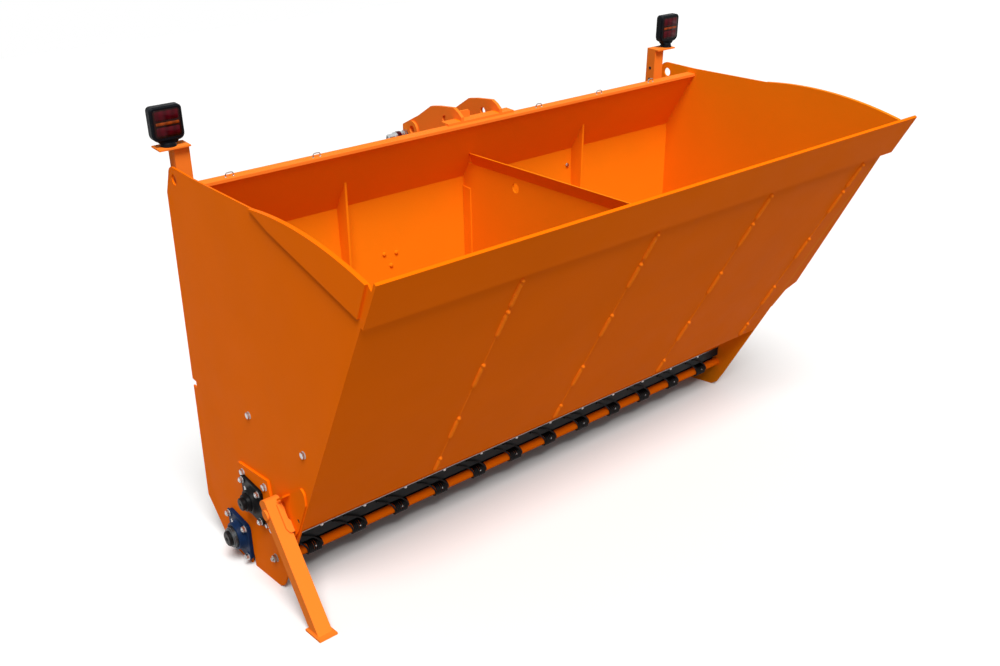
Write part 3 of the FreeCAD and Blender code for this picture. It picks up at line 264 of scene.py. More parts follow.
# Each finish: the sidebar's colour, the surface, the record's slot and the frame's nodes that wear
# it.  The first is worn by every node that no other one names.
FINISH_TABLE = {
    "orange_powder_coat": ("paint", POWDER_COAT, "orange_paint", ()),
    # Painted light: the paint drawn lighter inside the hopper, and on the right end plate to match
    # it.
    "orange_coat_painted_light_inside": ("inside", POWDER_COAT, "orange_paint", (
        "back_wall", "partition", "back_rib_left", "back_rib_right", "end_plate_right",
        "end_doubler_right", "drive_cover")),
    # Painted sheen: the paint drawn paler on the rim, leg, ears, posts and saddle, where faces turn
    # up.
    "orange_coat_painted_sheen": ("fittings", POWDER_COAT, "orange_paint", (
        "top_rim", "parking_leg", "leg_pivot", "lamp_post_left", "lamp_post_right",
        "coupler_ear_left", "coupler_ear_right", "saddle")),
    # Painted highlight: the paint drawn lighter on the welds, with a duller roughness over them.
    "orange_weld_painted_highlight": ("weld", WELD_COAT, "orange_paint", ()),
    "blue_enamel_casting": ("bearing", ENAMEL_CASTING, "blue_casting", ("roller_bearing",)),
    "black_enamel_casting": ("black", ENAMEL_CASTING, "black_steel", (
        "agitator_bearing", "hydraulic_motor")),
    "black_enamel_steel": ("black", ENAMEL_STEEL, "black_steel", ()),
    "grey_enamel_steel": ("bar", ENAMEL_STEEL, "black_steel", ("gate_bar",)),
    "moulded_rubber": ("rubber", MOULDED_RUBBER, "rubber", ("gate_strip",)),
    "zinc_plated_steel": ("zinc", ZINC_PLATE, "bright_steel", ()),
    "turned_steel": ("steel", TURNED_STEEL, "bright_steel", (
        "link_pin_left", "link_pin_right", "agitator")),
    "oiled_steel": ("oiled", OILED_STEEL, "bright_steel", ()),
    "black_moulded_plastic": ("plastic", MOULDED_PLASTIC, "lamp_plastic", ()),
    "red_acrylic": ("lens", ACRYLIC, "lens", ()),
    "smoked_acrylic": ("smoked", ACRYLIC, "lens", ()),
    "amber_acrylic": ("amber", ACRYLIC, "lens", ()),
}
FINISHES = {}


def add(tree, kind, settings=None, links=None):
    """One node with its settings, and its inputs set to a value or linked from another's output."""
    node = tree.nodes.new(kind)
    for key, value in (settings or {}).items():
        setattr(node, key, value)
    for key, value in (links or {}).items():
        if isinstance(value, bpy.types.NodeSocket):
            tree.links.new(value, node.inputs[key])
        else:
            node.inputs[key].default_value = value
    return node


def cleared(block):
    """The emptied node tree of a material or world."""
    block.use_nodes = True
    block.node_tree.nodes.clear()
    return block.node_tree


def finished(name, base, surface):
    """One finish: its pattern as a bump, and its base colour drawn towards a darker one, by noise
    or else by the pattern.  Noise also spreads its roughness between two values."""
    material = bpy.data.materials.new(name)
    tree = cleared(material)
    spot = add(tree, "ShaderNodeTexCoord").outputs["Object"]
    kind, settings, inputs = surface.pattern
    pattern = add(tree, kind, settings, {"Vector": spot, **inputs}).outputs[0]
    strength, depth = surface.relief
    bump = add(tree, "ShaderNodeBump", links={"Strength": strength, "Distance": depth / MM,
                                              "Height": pattern})
    values = {"Dark": pattern, **surface.constants}
    for key, (size, low, high) in surface.wander.items():
        noise = add(tree, NOISE, links={"Vector": spot, "Scale": MM / size, **CLOUDS})
        values[key] = add(tree, "ShaderNodeMapRange", links={
            "Value": noise.outputs[0], **SPREAD, "To Min": low, "To Max": high}).outputs[0]
    dark = tuple(part * surface.darker for part in base[:3]) + (1.0,)
    mixed = add(tree, "ShaderNodeMix", {"data_type": "RGBA"},
                {0: values.pop("Dark"), 6: base, 7: dark})
    shader = add(tree, "ShaderNodeBsdfPrincipled", links={
        "Base Color": mixed.outputs[2], "Normal": bump.outputs[0], **values})
    add(tree, "ShaderNodeOutputMaterial", links={"Surface": shader.outputs[0]})
    return material


class SPREADER_OT_finishes(Operator):
    """Make the finishes and give every frame piece its own"""
    bl_idname = "spreader.finishes"
    bl_label = "Finishes"

    def execute(self, context):
        colours = group()[1]
        worn = {}
        for name, (key, surface, _, wearers) in FINISH_TABLE.items():
            FINISHES[name] = finished(name, (*getattr(colours, key), 1.0), surface)
            worn.update(dict.fromkeys(wearers, name))
        for name, node in NODES.items():
            finish = FINISHES[worn.get(name, "orange_powder_coat")]
            if not node.material_slots:
                node.data.materials.append(finish)
            for spot in node.material_slots:
                spot.material = finish
        return {"FINISHED"}


# ---- shells: corners, quads and end caps
def linked(name, data):
    """A new object of the scene."""
    item = bpy.data.objects.new(name, data)
    bpy.context.scene.collection.objects.link(item)
    return item


def skin(rings):
    """Rings of points joined one to the next by quads; each end closed by its own ring."""
    count, around = rings.shape[:2]
    index = np.arange(count * around).reshape(count, around)
    near, far = index[:-1], index[1:]
    quads = np.stack([near, np.roll(near, -1, 1), np.roll(far, -1, 1), far], -1)
    return rings.reshape(-1, 3), quads.reshape(-1, 4), [index[0][::-1], index[-1]]


def content(shell):
    """Signed volume: a sixth of the sum of corner triple products, positive if faces point out."""
    points, quads, ends = shell
    points = points - points.mean(0)
    triangles = [quads[:, [0, 1, 2]], quads[:, [0, 2, 3]]]
    for end in ends:
        triangles.append(np.stack([np.full(len(end) - 2, end[0]), end[1:-1], end[2:]], -1))
    corner = points[np.concatenate(triangles)]
    return float(np.einsum("ij,ij->", corner[:, 0], np.cross(corner[:, 1], corner[:, 2])) / 6)


def build(name, shells, finish, body="hopper", stands_for=(), crease=32.0):
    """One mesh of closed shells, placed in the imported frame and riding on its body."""
    points, corners, totals, base = [], [], [], 0
    for shell in shells:
        if content(shell) < 0:
            shell = (shell[0], shell[1][:, ::-1], [end[::-1] for end in shell[2]])
        points.append(shell[0])
        corners.append(shell[1].ravel() + base)
        totals.append(np.full(len(shell[1]), 4))
        for end in shell[2]:
            corners.append(end + base)
            totals.append(np.array([len(end)]))
        base += len(shell[0])
    points = place(np.concatenate(points))
    corners, totals = np.concatenate(corners), np.concatenate(totals)
    mesh = bpy.data.meshes.new(name)
    mesh.vertices.add(len(points))
    mesh.vertices.foreach_set("co", points.ravel().astype(np.float32))
    mesh.loops.add(len(corners))
    mesh.loops.foreach_set("vertex_index", corners.astype(np.int32))
    mesh.polygons.add(len(totals))
    mesh.polygons.foreach_set("loop_start", (np.cumsum(totals) - totals).astype(np.int32))
    mesh.update(calc_edges=True)
    if mesh.validate():
        raise RuntimeError(f"{name} has broken faces")
    mesh.shade_smooth()
    mesh.set_sharp_from_angle(angle=math.radians(crease))
    mesh.materials.append(FINISHES[finish])
    piece = linked(name, mesh)
    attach(piece, body)
    if stands_for:
        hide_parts(*stands_for)


def across(axis):
    """An axis and two directions square to it and to each other, from its cross product with
    whichever base axis is least along it."""
    axis = np.asarray(axis, float)
    axis = axis / np.linalg.norm(axis)
    first = np.cross(axis, np.eye(3)[np.argmin(np.abs(axis))])
    first = first / np.linalg.norm(first)
    return axis, first, np.cross(axis, first)


def circle(first, second, sides):
    """Points round a circle: a cosine along the first direction and a sine along the second."""
    turn = np.linspace(0, math.tau, sides, endpoint=False)[:, None]
    return np.cos(turn) * first + np.sin(turn) * second


def turned(centre, axis, profile, sides=28):
    """A lathe form: each (radius, distance) of the profile is a circle about the axis."""
    axis, first, second = across(axis)
    profile = np.asarray(profile, float)
    return skin(np.asarray(centre, float) + profile[:, 1, None, None] * axis
                + profile[:, 0, None, None] * circle(first, second, sides))


def hexagon(centre, axis, flats, height):
    """A nut or head: a hexagon whose top corners are cut by a cone, as a chamfer of 30 degrees cuts
    them.  Its reach at each angle is half the flats over the cosine of the turn from a flat."""
    sides, top = 36, flats * 0.46
    axis, first, second = across(axis)
    turn = np.linspace(0, math.tau, sides, endpoint=False)[:, None]
    reach = flats / 2 / np.cos((turn + math.pi / 6) % (math.pi / 3) - math.pi / 6)
    shoulder = height - (reach - top) * math.tan(math.radians(30))
    ray = circle(first, second, sides)
    return skin(np.stack([np.asarray(centre, float) + wide * ray + rise * axis
                          for wide, rise in ((reach, 0), (reach, shoulder), (top, height))]))


def washer(centre, axis, radius, thick):
    """A flat ring seen only from outside: a low lathe form with rounded edges."""
    chamfer, edge = 0.6, 0.5
    return turned(centre, axis, [(radius - chamfer, 0), (radius, edge), (radius, thick - edge),
                                 (radius - chamfer, thick)])


# Sizes in threads: a washer's radius and thickness, a head's flats and height, a nut's height
WASHER_REACH, WASHER_THICK, FLATS, HEAD, NUT = 1.05, 0.18, 1.6, 0.64, 0.8


def bolt(centre, axis, thread, tall=HEAD):
    """Washer and hexagon head, in proportion to the thread."""
    return [washer(centre, axis, thread * WASHER_REACH, thread * WASHER_THICK),
            hexagon(centre + axis * thread * WASHER_THICK, axis, thread * FLATS, thread * tall)]


def nut_on_stud(centre, axis, thread, stud=0.55):
    """Washer, nut and a stud's end whose radius ripples once per thread pitch."""
    pitch, depth = thread * 0.14, thread * 0.035
    steps = np.linspace(0, thread * stud, 22)
    ripple = thread / 2 - depth * (1 + np.cos(math.tau * steps / pitch))
    ripple[-2:] = [thread * 0.44, thread * 0.36]
    root = centre + axis * thread * (WASHER_THICK + NUT - 0.06)
    return [*bolt(centre, axis, thread, NUT),
            turned(root, axis, np.stack([ripple, steps], -1), 20)]


def domed(centre, axis, radius, height):
    """A button head: an ellipse's quarter turned about the axis."""
    turn = np.linspace(0, math.pi / 2, 8)[:-1]
    profile = np.stack([radius * np.cos(turn), height * np.sin(turn)], -1)
    profile = np.vstack([[radius, -0.3], profile, [radius * 0.12, height]])
    return turned(centre, axis, profile, 24)


def swept(path, radius, normals, sides):
    """A circle carried along a path, square to its tangent; normals give where it starts."""
    tangent = np.gradient(path, axis=0)
    tangent /= np.linalg.norm(tangent, axis=1, keepdims=True)
    normals = normals - np.einsum("ij,ij->i", normals, tangent)[:, None] * tangent
    normals /= np.linalg.norm(normals, axis=1, keepdims=True)
    turn = np.linspace(0, math.tau, sides, endpoint=False)[None, :, None]
    spread = np.cos(turn) * normals[:, None] + np.sin(turn) * np.cross(tangent, normals)[:, None]
    return skin(path[:, None] + radius * spread)


def bead(start, end, face, width, rise=0.5, ripple=3.2):
    """A weld bead: a tube, flattened by its rise, whose radius ripples along its run and shrinks to
    both ends as the square root of the distance to them."""
    left, swing, finest = 0.08, 0.10, 2.5  # radius at the ends, ripples' share, steps per ripple
    start, end, face = (np.asarray(item, float) for item in (start, end, face))
    run = np.linalg.norm(end - start)
    steps = np.linspace(0, 1, max(8, int(run / (ripple / finest)) + 2))
    side = np.cross((end - start) / run, face)
    taper = np.sqrt(np.clip(np.minimum(steps, 1 - steps) * run / width, 0, 1))
    reach = width / 2 * (taper * (1 - left) + left)
    reach = reach * (1 + swing * np.cos(math.tau * steps * run / ripple))
    return skin(start + (end - start) * steps[:, None, None]
                + reach[:, None, None] * circle(side, rise * face, 10))


def fillet(start, end, face, other, width):
    """A weld in a corner: a bead whose flat side lies between the two faces it joins."""
    middle = np.asarray(face, float) + np.asarray(other, float)
    return bead(start, end, middle / np.linalg.norm(middle), width)


def slab(outline, origin, first, second, thick, edge=1.0):
    """A plate: its outline, drawn in at the two faces, carried through its thickness.  A corner is
    drawn in by the edge's width along the sum of its two sides' inward normals."""
    outline, origin = np.asarray(outline, float), np.asarray(origin, float)
    ahead = np.roll(outline, -1, 0) - outline
    ahead /= np.linalg.norm(ahead, axis=1, keepdims=True)
    both = ahead + np.roll(ahead, 1, 0)
    inward = np.stack([-both[:, 1], both[:, 0]], -1)
    x, y = outline.T
    area = np.sum(x * np.roll(y, -1) - np.roll(x, -1) * y)
    drawn = outline + inward * np.sign(area) * edge / np.linalg.norm(inward, axis=1, keepdims=True)
    through = np.cross(first, second)
    return skin(np.stack([origin + flat[:, :1] * first + flat[:, 1:] * second + through * rise
                          for flat, rise in ((drawn, 0), (outline, edge),
                                             (outline, thick - edge), (drawn, thick))]))


def oblong(width, height):
    """A rectangle from its low corner."""
    return [(0, 0), (width, 0), (width, height), (0, height)]


def rounded(width, height, radius, steps=5):
    """A rectangle with arcs for corners, about its middle; one radius, or one for each corner."""
    radii = np.broadcast_to(np.asarray(radius, float), (4,))
    parts = []
    for quarter, (sx, sy) in enumerate(((1, 1), (-1, 1), (-1, -1), (1, -1))):
        reach = radii[quarter]
        centre = np.array([sx * (width / 2 - reach), sy * (height / 2 - reach)])
        swing = np.linspace(0, math.pi / 2, steps) + quarter * math.pi / 2
        parts.append(centre + reach * np.stack([np.cos(swing), np.sin(swing)], -1))
    return np.concatenate(parts)


# ---- gate
SPRINGS = 12  # and as many screws in the bar
SPRING_REACH = 31  # half a spring's length
SLEEVE_REACH = 26  # half the length of the sleeve that it stands for
CLOSE_GAP = 0.25  # between two close turns
LEG_RUNS, LEG_TOPS = (70, 84), (238, 241)  # how far a spring's two legs run aside, and their z
BAR_Y, STRIP_Y = -308, -307.5  # what the bar's screws and the strips over it stand on


def spring_leg(end, run, top):
    """A spring's leg, on a parabola from its tip over the bar down to the end of the coil."""
    share = np.linspace(0, 1, 16)[:-1, None]
    tip = np.array([end[0] - run, -311.8, top])
    knee = np.array([end[0] - 3, -316, top - 30])
    return tip * (1 - share) ** 2 + knee * 2 * share * (1 - share) + end * share ** 2


def spring_wire(sizes):
    """One gate spring about x = 0: a helix round the pipe, close wound towards both ends and open
    in its middle, with a leg at each end.  Also the directions away from the pipe's axis."""
    reach, wire, turns = sizes.coil * MM, sizes.wire * MM, sizes.coil_turns
    axis = np.array([0, *PIPE])
    half = SPRING_REACH - wire / 2
    close = turns * (wire + CLOSE_GAP)
    turn = np.linspace(0, math.tau * (2 * turns + 2), 30 * (2 * turns + 2) + 1)
    x = np.interp(turn, [0, math.tau * turns, turn[-1] - math.tau * turns, turn[-1]],
                  [-half, close - half, half - close, half])
    coil = np.stack([x, -reach * np.cos(turn), -reach * np.sin(turn)], -1) + axis
    first, last = map(spring_leg, (coil[0], coil[-1]), LEG_RUNS, LEG_TOPS)
    path = np.vstack([first, coil, last[::-1]])
    radial = (path - axis) * np.array([0, 1, 1])
    return path, radial / np.linalg.norm(radial, axis=1, keepdims=True)


class SPREADER_OT_gate_springs(Operator):
    """Wind the springs that press the gate's strip on the roller"""
    bl_idname = "spreader.gate_springs"
    bl_label = "Gate springs"

    def execute(self, context):
        sizes = group()[0]
        low, high = span("gate_springs")
        middles = np.linspace(low + SLEEVE_REACH, high - SLEEVE_REACH, SPRINGS)
        path, radial = spring_wire(sizes)
        points, quads, ends = swept(path, sizes.wire * MM / 2, radial, 10)
        shells = [(points + [x, 0, 0], quads, ends) for x in middles]
        build("gate_spring_wire", shells, "black_enamel_steel", stands_for=("gate_springs",),
              crease=60)
        (y, z), out, shift = PIPE + [-14.6, 6], [0, -0.93, 0.37], 1
        screws = [domed([x + shift, y, z], out, radius=5.4, height=9) for x in middles]
        build("spring_set_screws", screws, "zinc_plated_steel")
        return {"FINISHED"}


class SPREADER_OT_gate_screws(Operator):
    """Screw the clamp bar to the flange, with a painted highlight strip and the gap's lip"""
    bl_idname = "spreader.gate_screws"
    bl_label = "Gate screws"

    def execute(self, context):
        thread = group()[0].gate_screw * MM
        thick, edge, inset = 1.2, 0.8, 1  # of a washer; of the strips' edges; at their ends
        first, last, screw_z, highlight_strip_z, fold_z = -935, 957, 243, 247, 250
        shells = []
        for x in np.linspace(first, last, SPRINGS):
            spot = np.array([x, BAR_Y, screw_z])
            shells.append(washer(spot, FORWARD, thread * 0.75, thick))
            shells.append(domed(spot + FORWARD * thick, FORWARD, thread * 0.6, thread * 0.45))
        low, high = span("gate_bar")
        low, run = low + inset, high - low - 2 * inset
        # Painted highlight: a thin zinc strip along the bar's top, for the light caught on its
        # edge.
        shells.append(slab(oblong(run, 2.6), [low, STRIP_Y, highlight_strip_z], RIGHT, HIGH, 3.6, edge))
        build("gate_screws_and_highlight_strip", shells, "zinc_plated_steel")
        fold = slab(oblong(run, 16), [low, STRIP_Y, fold_z], RIGHT, HIGH, 2.4, edge)
        build("gate_wall_fold", [fold], "orange_powder_coat")
        lip = slab([(-286, 196), (-281.5, 192), (-279, 152), (-282.5, 151)],
                   [low, 0, 0], REAR, HIGH, run, edge)
        build("gate_rubber_lip", [lip], "moulded_rubber")
        return {"FINISHED"}


# ---- welds
SEAM_TOP, SEAM_FOOT = 1276, 410
SEAMS = ((-574, -592), (-42, -54), (497, 485), (1010, 985))  # x at top and foot
STITCH_TOPS = (1270, 1152, 933, 689, 484)
STITCH_END = 412  # the lowest that a stitch may reach


def on_seam(seam, z):
    """A seam's point at height z: its x runs straight from top to foot."""
    return np.array([np.interp(z, (SEAM_FOOT, SEAM_TOP), seam[::-1]), on_front(z), z])


class SPREADER_OT_wall_seams(Operator):
    """Lay the seams of stitch welds down the front wall"""
    bl_idname = "spreader.wall_seams"
    bl_label = "Front wall seams"

    def execute(self, context):
        sizes = group()[0]
        width, stitch = sizes.seam * MM, sizes.stitch * MM
        shells = []
        for seam in SEAMS:
            shells.append(bead(on_seam(seam, SEAM_TOP), on_seam(seam, SEAM_FOOT), FRONT_FACE,
                               width * 0.25, rise=1, ripple=8))
            for z in STITCH_TOPS:
                spot = on_seam(seam, z)
                shells.append(bead(spot, on_seam(seam, max(z - stitch, STITCH_END)), FRONT_FACE,
                                   width, rise=0.9, ripple=5))
                # Domes at the stitches' tops, drawn lighter as a painted highlight.
                shells.append(domed(spot - FRONT_FACE * 0.5, FRONT_FACE, radius=width * 0.46,
                                    height=width * 0.62))
        build("front_wall_stitch_welds", shells, "orange_weld_painted_highlight", crease=50)
        return {"FINISHED"}


class SPREADER_OT_corner_welds(Operator):
    """Weld the walls, ribs and ears in their corners, and fold the partition's edge"""
    bl_idname = "spreader.corner_welds"
    bl_label = "Corner welds"

    def execute(self, context):
        width = group()[0].bead * MM
        shells = []
        for side in (-1, 1):
            for start, end in ((1150, 430), (1180, 1350)):  # of the panel and the band
                shells.append(fillet([side * INNER, on_back(start), start],
                                     [side * INNER, on_back(end), end],
                                     side * LEFT, FORWARD, width))
        rib_reach, stitch, pitch = 4, 60, 160
        for rib in (-545, 545):
            for side in (-1, 1):
                x = rib + side * rib_reach
                for low in np.arange(480, 1120, pitch):
                    high = low + stitch
                    shells.append(fillet([x, on_back(low), low], [x, on_back(high), high],
                                         side * RIGHT, FORWARD, width * 0.8))
        ear_reach, rim_top = 6, 1412
        for ear in (-86, 86):
            for side in (-1, 1):
                x = ear + side * ear_reach
                shells.append(fillet([x, 0, rim_top], [x, 36, rim_top], side * RIGHT, HIGH,
                                     width * 0.9))
        low, high, gap, reach = 430, 1128, 1, 46
        fold = [(on_back(low) - reach, low), (on_back(low) - gap, low),
                (on_back(high) - gap, high), (on_back(high) - reach, high)]
        shells.append(slab(fold, [-7, 0, 0], REAR, HIGH, 4.5))
        build("corner_welds", shells, "orange_coat_painted_light_inside", crease=50)
        return {"FINISHED"}


# ---- fasteners
class Bearing(NamedTuple):
    """A flanged bearing on the left end plate, in mm; profiles are of radius and distance."""
    axis: np.ndarray
    shaft: str  # node and body of its shaft
    reach: float  # from its flange's face to the end of its hub
    size: float  # of its square flange
    thick: float  # of that flange
    hub: float  # radius of its hub
    pitch: float  # between two of its studs
    sides: int  # of its round parts
    ring_at: float  # from the flange's face to the ring's foot
    ring: tuple
    ring_finish: str
    tip: tuple  # end of its shaft
    finish: str


BEARINGS = {
    "roller": Bearing(
        ROLLER, "spreading_roller", 22, 150, 14, 50, 120, 48, 16,
        ((38, 0), (38, 14), (36.5, 16), (36.5, 19), (34.5, 21), (28.6, 21.4), (28.3, 20)),
        "oiled_steel",
        ((5, 3.6), (5.5, 2.5), (8, 0), (24.5, 0), (27.9, 3), (27.9, 24), (27.2, 24.6)),
        "blue_enamel_casting"),
    "agitator": Bearing(
        AGITATOR, "agitator", 17, 138, 10, 42, 110, 44, 11,
        ((31, 0), (31, 12), (30, 14), (30, 17), (28, 19), (23.4, 19.4), (22.9, 18)),
        "black_enamel_casting",
        ((4, 3.6), (4.5, 2), (6.5, 0), (19.5, 0), (22.4, 2.6), (22.4, 23), (21.8, 23.6)),
        "black_enamel_casting"),
}
NIPPLE = [(4.2, 0), (4.2, 4), (3, 4.6), (2.4, 8), (3.4, 10), (3.4, 11.5), (1.2, 13)]
NIPPLE_RAY = np.array([0, 0.42, 0.91])  # out of the hub, leaning back
# Ways out from a flange's face, or from a shaft's end: pad, nipple and tip
PAD, NIPPLE_OUT, TIP_OUT = 2, 10, 4


def square(centre, pitch):
    """Four bolt places on an upright square."""
    corner = np.array([(-0.5, -0.5), (0.5, -0.5), (0.5, 0.5), (-0.5, 0.5)]) * pitch
    return np.asarray(centre) + corner


def housing(bearing, face):
    """Cast flange with rounded corners and a pad round each bolt, and a hub that swells to meet it:
    the hub's radius falls with the square root of the distance from the flange."""
    size, hub, reach, flare, rim = bearing.size, bearing.hub, bearing.reach, 9, 3
    centre = [face, *bearing.axis]
    out = np.linspace(0, reach - rim, 9)
    swell = hub + flare * (1 - np.sqrt(out / out[-1]))
    profile = [(swell[0] + 2, -1), *zip(swell, out), (hub - 1.2, reach - 0.8),
               (hub - 3.5, reach), (hub - 8, reach), (hub - 9.5, reach - 1.5),
               (hub - 10, reach - 5), (hub * 0.5, reach - 5)]
    pad = [(size * 0.115, -1), (size * 0.11, 1.2), (size * 0.1, PAD)]
    return [slab(rounded(size, size, size * 0.13, 7), centre, REAR, HIGH, bearing.thick, 2),
            turned(centre, LEFT, profile, 64),
            *(turned([face, *spot], LEFT, pad, 32) for spot in square(bearing.axis, size * 0.8))]


class SPREADER_OT_bearings(Operator):
    """Cast the two bearing housings, bolt them on and fit their rings, shaft ends and nipples"""
    bl_idname = "spreader.bearings"
    bl_label = "Bearings"

    def execute(self, context):
        sizes = group()[0]
        faces = {name: span(f"{name}_bearing")[0] + bearing.reach
                 for name, bearing in BEARINGS.items()}
        for name, bearing in BEARINGS.items():
            build(f"{name}_bearing_housing", housing(bearing, faces[name]), bearing.finish,
                  stands_for=(f"{name}_bearing",))
        studs = []
        for (name, bearing), thread in zip(BEARINGS.items(),
                                           (sizes.bearing_stud * MM, sizes.carrier_stud * MM)):
            for spot in square(bearing.axis, bearing.pitch):
                studs += nut_on_stud([faces[name] - PAD, *spot], LEFT, thread, 0.3)
        carrier = span("carrier_plate")[0]
        for y, z, thread in ((-119, 431, 13), (-276, 458, 13), (-260, 294, 9), (-290, 292, 9)):
            studs += bolt([carrier, y, z], LEFT, thread)
        build("bearing_nuts", studs, "zinc_plated_steel")
        for name, bearing in BEARINGS.items():
            ring = turned([faces[name] - bearing.ring_at, *bearing.axis], LEFT, bearing.ring,
                          bearing.sides)
            build(f"{name}_inner_ring", [ring], bearing.ring_finish)
        for name, bearing in BEARINGS.items():
            tip = turned([span(bearing.shaft)[0] - TIP_OUT, *bearing.axis], RIGHT, bearing.tip,
                         bearing.sides)
            build(f"{name}_shaft_end", [tip], "black_enamel_steel", bearing.shaft)
        nipples = [turned([faces[name] - NIPPLE_OUT, *bearing.axis] + NIPPLE_RAY * bearing.hub,
                          NIPPLE_RAY, NIPPLE, 16) for name, bearing in BEARINGS.items()]
        build("grease_nipples", nipples, "zinc_plated_steel")
        return {"FINISHED"}


class SPREADER_OT_plate_fasteners(Operator):
    """Put in the bolts of the end plates and the back wall"""
    bl_idname = "spreader.plate_fasteners"
    bl_label = "Plate fasteners"

    def execute(self, context):
        shells = []
        for side in (-1, 1):
            for y, z in ((-206, 694), (-557, 728)):
                shells += bolt([side * OUTER, y, z], side * RIGHT, 12)
        stud = nut_on_stud([-OUTER, -283, 169], LEFT, 14)
        build("bare_nut", stud, "turned_steel")
        shells += bolt([520, on_back(1098), 1098], FORWARD, 8)
        painted = []
        for x, z in ((-372, 948), (-320, 942), (-345, 898)):
            painted += bolt([x, on_back(z), z], FORWARD, 7.5)
        build("painted_bolts", painted, "orange_coat_painted_light_inside")
        build("plate_bolts", shells, "zinc_plated_steel")
        return {"FINISHED"}


# ---- parking leg
LEG_SLANT = math.radians(37.3)
LEG_DOWN = np.array([0, -math.sin(LEG_SLANT), -math.cos(LEG_SLANT)])
LEG_AHEAD = np.array([0, -math.cos(LEG_SLANT), math.sin(LEG_SLANT)])
LEG_X, LEG_RUN, TUBE_REACH = -1137, 398, 25  # its middle, its length and half its tube


class SPREADER_OT_leg_fittings(Operator):
    """Fit the leg's clip plate, painted shade in its lock hole and its foot welds"""
    bl_idname = "spreader.leg_fittings"
    bl_label = "Leg fittings"

    def execute(self, context):
        pivot = np.array([LEG_X, *PIVOT])
        # Up past the pivot, out to the tube's front and off its middle
        top = pivot - LEG_DOWN * 18 + LEG_AHEAD * 24.5 + RIGHT * 6
        clip = slab([(0, 0), (80, 0), (92, 5), (98, 10), (98, 24), (62, 24), (52, 18), (0, 18)],
                    top, LEG_DOWN, RIGHT, 9)
        build("leg_clip_plate", [clip], "orange_coat_painted_sheen", "parking_leg")
        # Painted shade: a black disc fills the lock hole just under the bracket's face.
        hole = turned([-OUTER, -487, 447], LEFT, [(6.9, -0.4), (6.9, 5.2), (6, 5.6)])
        build("lock_hole_shade", [hole], "black_enamel_steel")
        foot, shift, half = pivot + LEG_DOWN * LEG_RUN, LEG_DOWN * 13, RIGHT * 24
        ahead, right = LEG_AHEAD * TUBE_REACH, RIGHT * TUBE_REACH
        welds = []
        for sign in (-1, 1):
            edge = foot + (shift + ahead) * sign
            welds.append(bead(edge - half, edge + half, LEG_AHEAD * sign, 7))
            side = foot + right * sign
            welds.append(bead(side - shift - ahead, side + shift + ahead, RIGHT * sign, 6))
        build("leg_foot_welds", welds, "orange_coat_painted_sheen", "parking_leg", crease=50)
        return {"FINISHED"}


# ---- rim, hitch and drive
class SPREADER_OT_rim_clips(Operator):
    """Fit the small wire loops along the rim: superellipses of power four"""
    bl_idname = "spreader.rim_clips"
    bl_label = "Rim clips"

    def execute(self, context):
        y, z, radius, steps = -8, 1404, 13, 17
        sweep = np.linspace(0, math.pi, steps)
        reach = radius * np.sign(np.cos(sweep)) * np.abs(np.cos(sweep)) ** 0.5
        loop = np.stack([reach, np.full(steps, y), z + radius * np.sin(sweep) ** 0.5], -1)
        shells = []
        for x in (-978, -675, 262, 568, 852):
            shells.append(swept(loop + [x, 0, 0], 1.8, np.tile(REAR, (steps, 1)), 8))
            for foot in (-radius, radius):
                shells.append(domed([x + foot, y, z], HIGH, 3.8, 2.4))
        build("rim_clips", shells, "turned_steel")
        return {"FINISHED"}


class SPREADER_OT_couplings(Operator):
    """Fit the hydraulic couplings with their collars"""
    bl_idname = "spreader.couplings"
    bl_label = "Hose couplings"

    def execute(self, context):
        body = [(13, 0), (15, 1), (15, 8), (18.5, 10), (18.5, 40), (17, 42), (15, 43), (15, 66),
                (13, 68), (9, 68), (8.5, 64), (1, 63.5)]
        collar = [(18.6, 0), (19.4, 1.5), (19.4, 16), (18.6, 18), (16, 18.5)]
        nut, collar_at, sides = 20, 34, 40
        shells, collars = [], []
        for z in (1284, 1238):
            start = np.array([-92, 338, z])
            shells.append(hexagon(start, LEFT, 34, nut))
            shells.append(turned(start + LEFT * nut, LEFT, body, sides))
            collars.append(turned(start + LEFT * collar_at, LEFT, collar, sides))
        build("coupling_bodies", shells, "zinc_plated_steel", stands_for=("hose_couplings",))
        build("coupling_rings", collars, "red_acrylic")
        return {"FINISHED"}


class SPREADER_OT_hitch_fittings(Operator):
    """Fit the shank nuts and linch pins of the lower link pins, and the tab between the ears"""
    bl_idname = "spreader.hitch_fittings"
    bl_label = "Hitch fittings"

    def execute(self, context):
        nut_x, pin_x, radius, steps = 392.5, 474, 21, 40
        turn = np.linspace(0, math.tau, steps)[:-3]  # the loop stays open beside the pin
        loop = np.stack([0 * turn, radius * np.cos(turn), radius * np.sin(turn)], -1)
        pin = [(3.6, 0), (4.6, 1), (4.6, 47), (6.5, 48), (6.5, 52), (5, 53)]
        shells = []
        for side in (-1, 1):
            shells += nut_on_stud([side * nut_x, *LINK], side * LEFT, 22, 0.35)
            tip = np.array([side * pin_x, *LINK])
            shells.append(swept(tip + loop, 2.2, np.tile(RIGHT, (len(turn), 1)), 8))
            shells.append(turned(tip + LOW * 24, HIGH, pin, 18))
        tab = slab([(-80, 1411.5), (-26, 1411.5), (-26, 1430), (-34, 1438), (-80, 1438)],
                   [0, 38, 0], RIGHT, HIGH, 5)
        build("ear_tab", [tab], "orange_coat_painted_sheen")
        build("link_pin_fittings", shells, "zinc_plated_steel")
        return {"FINISHED"}


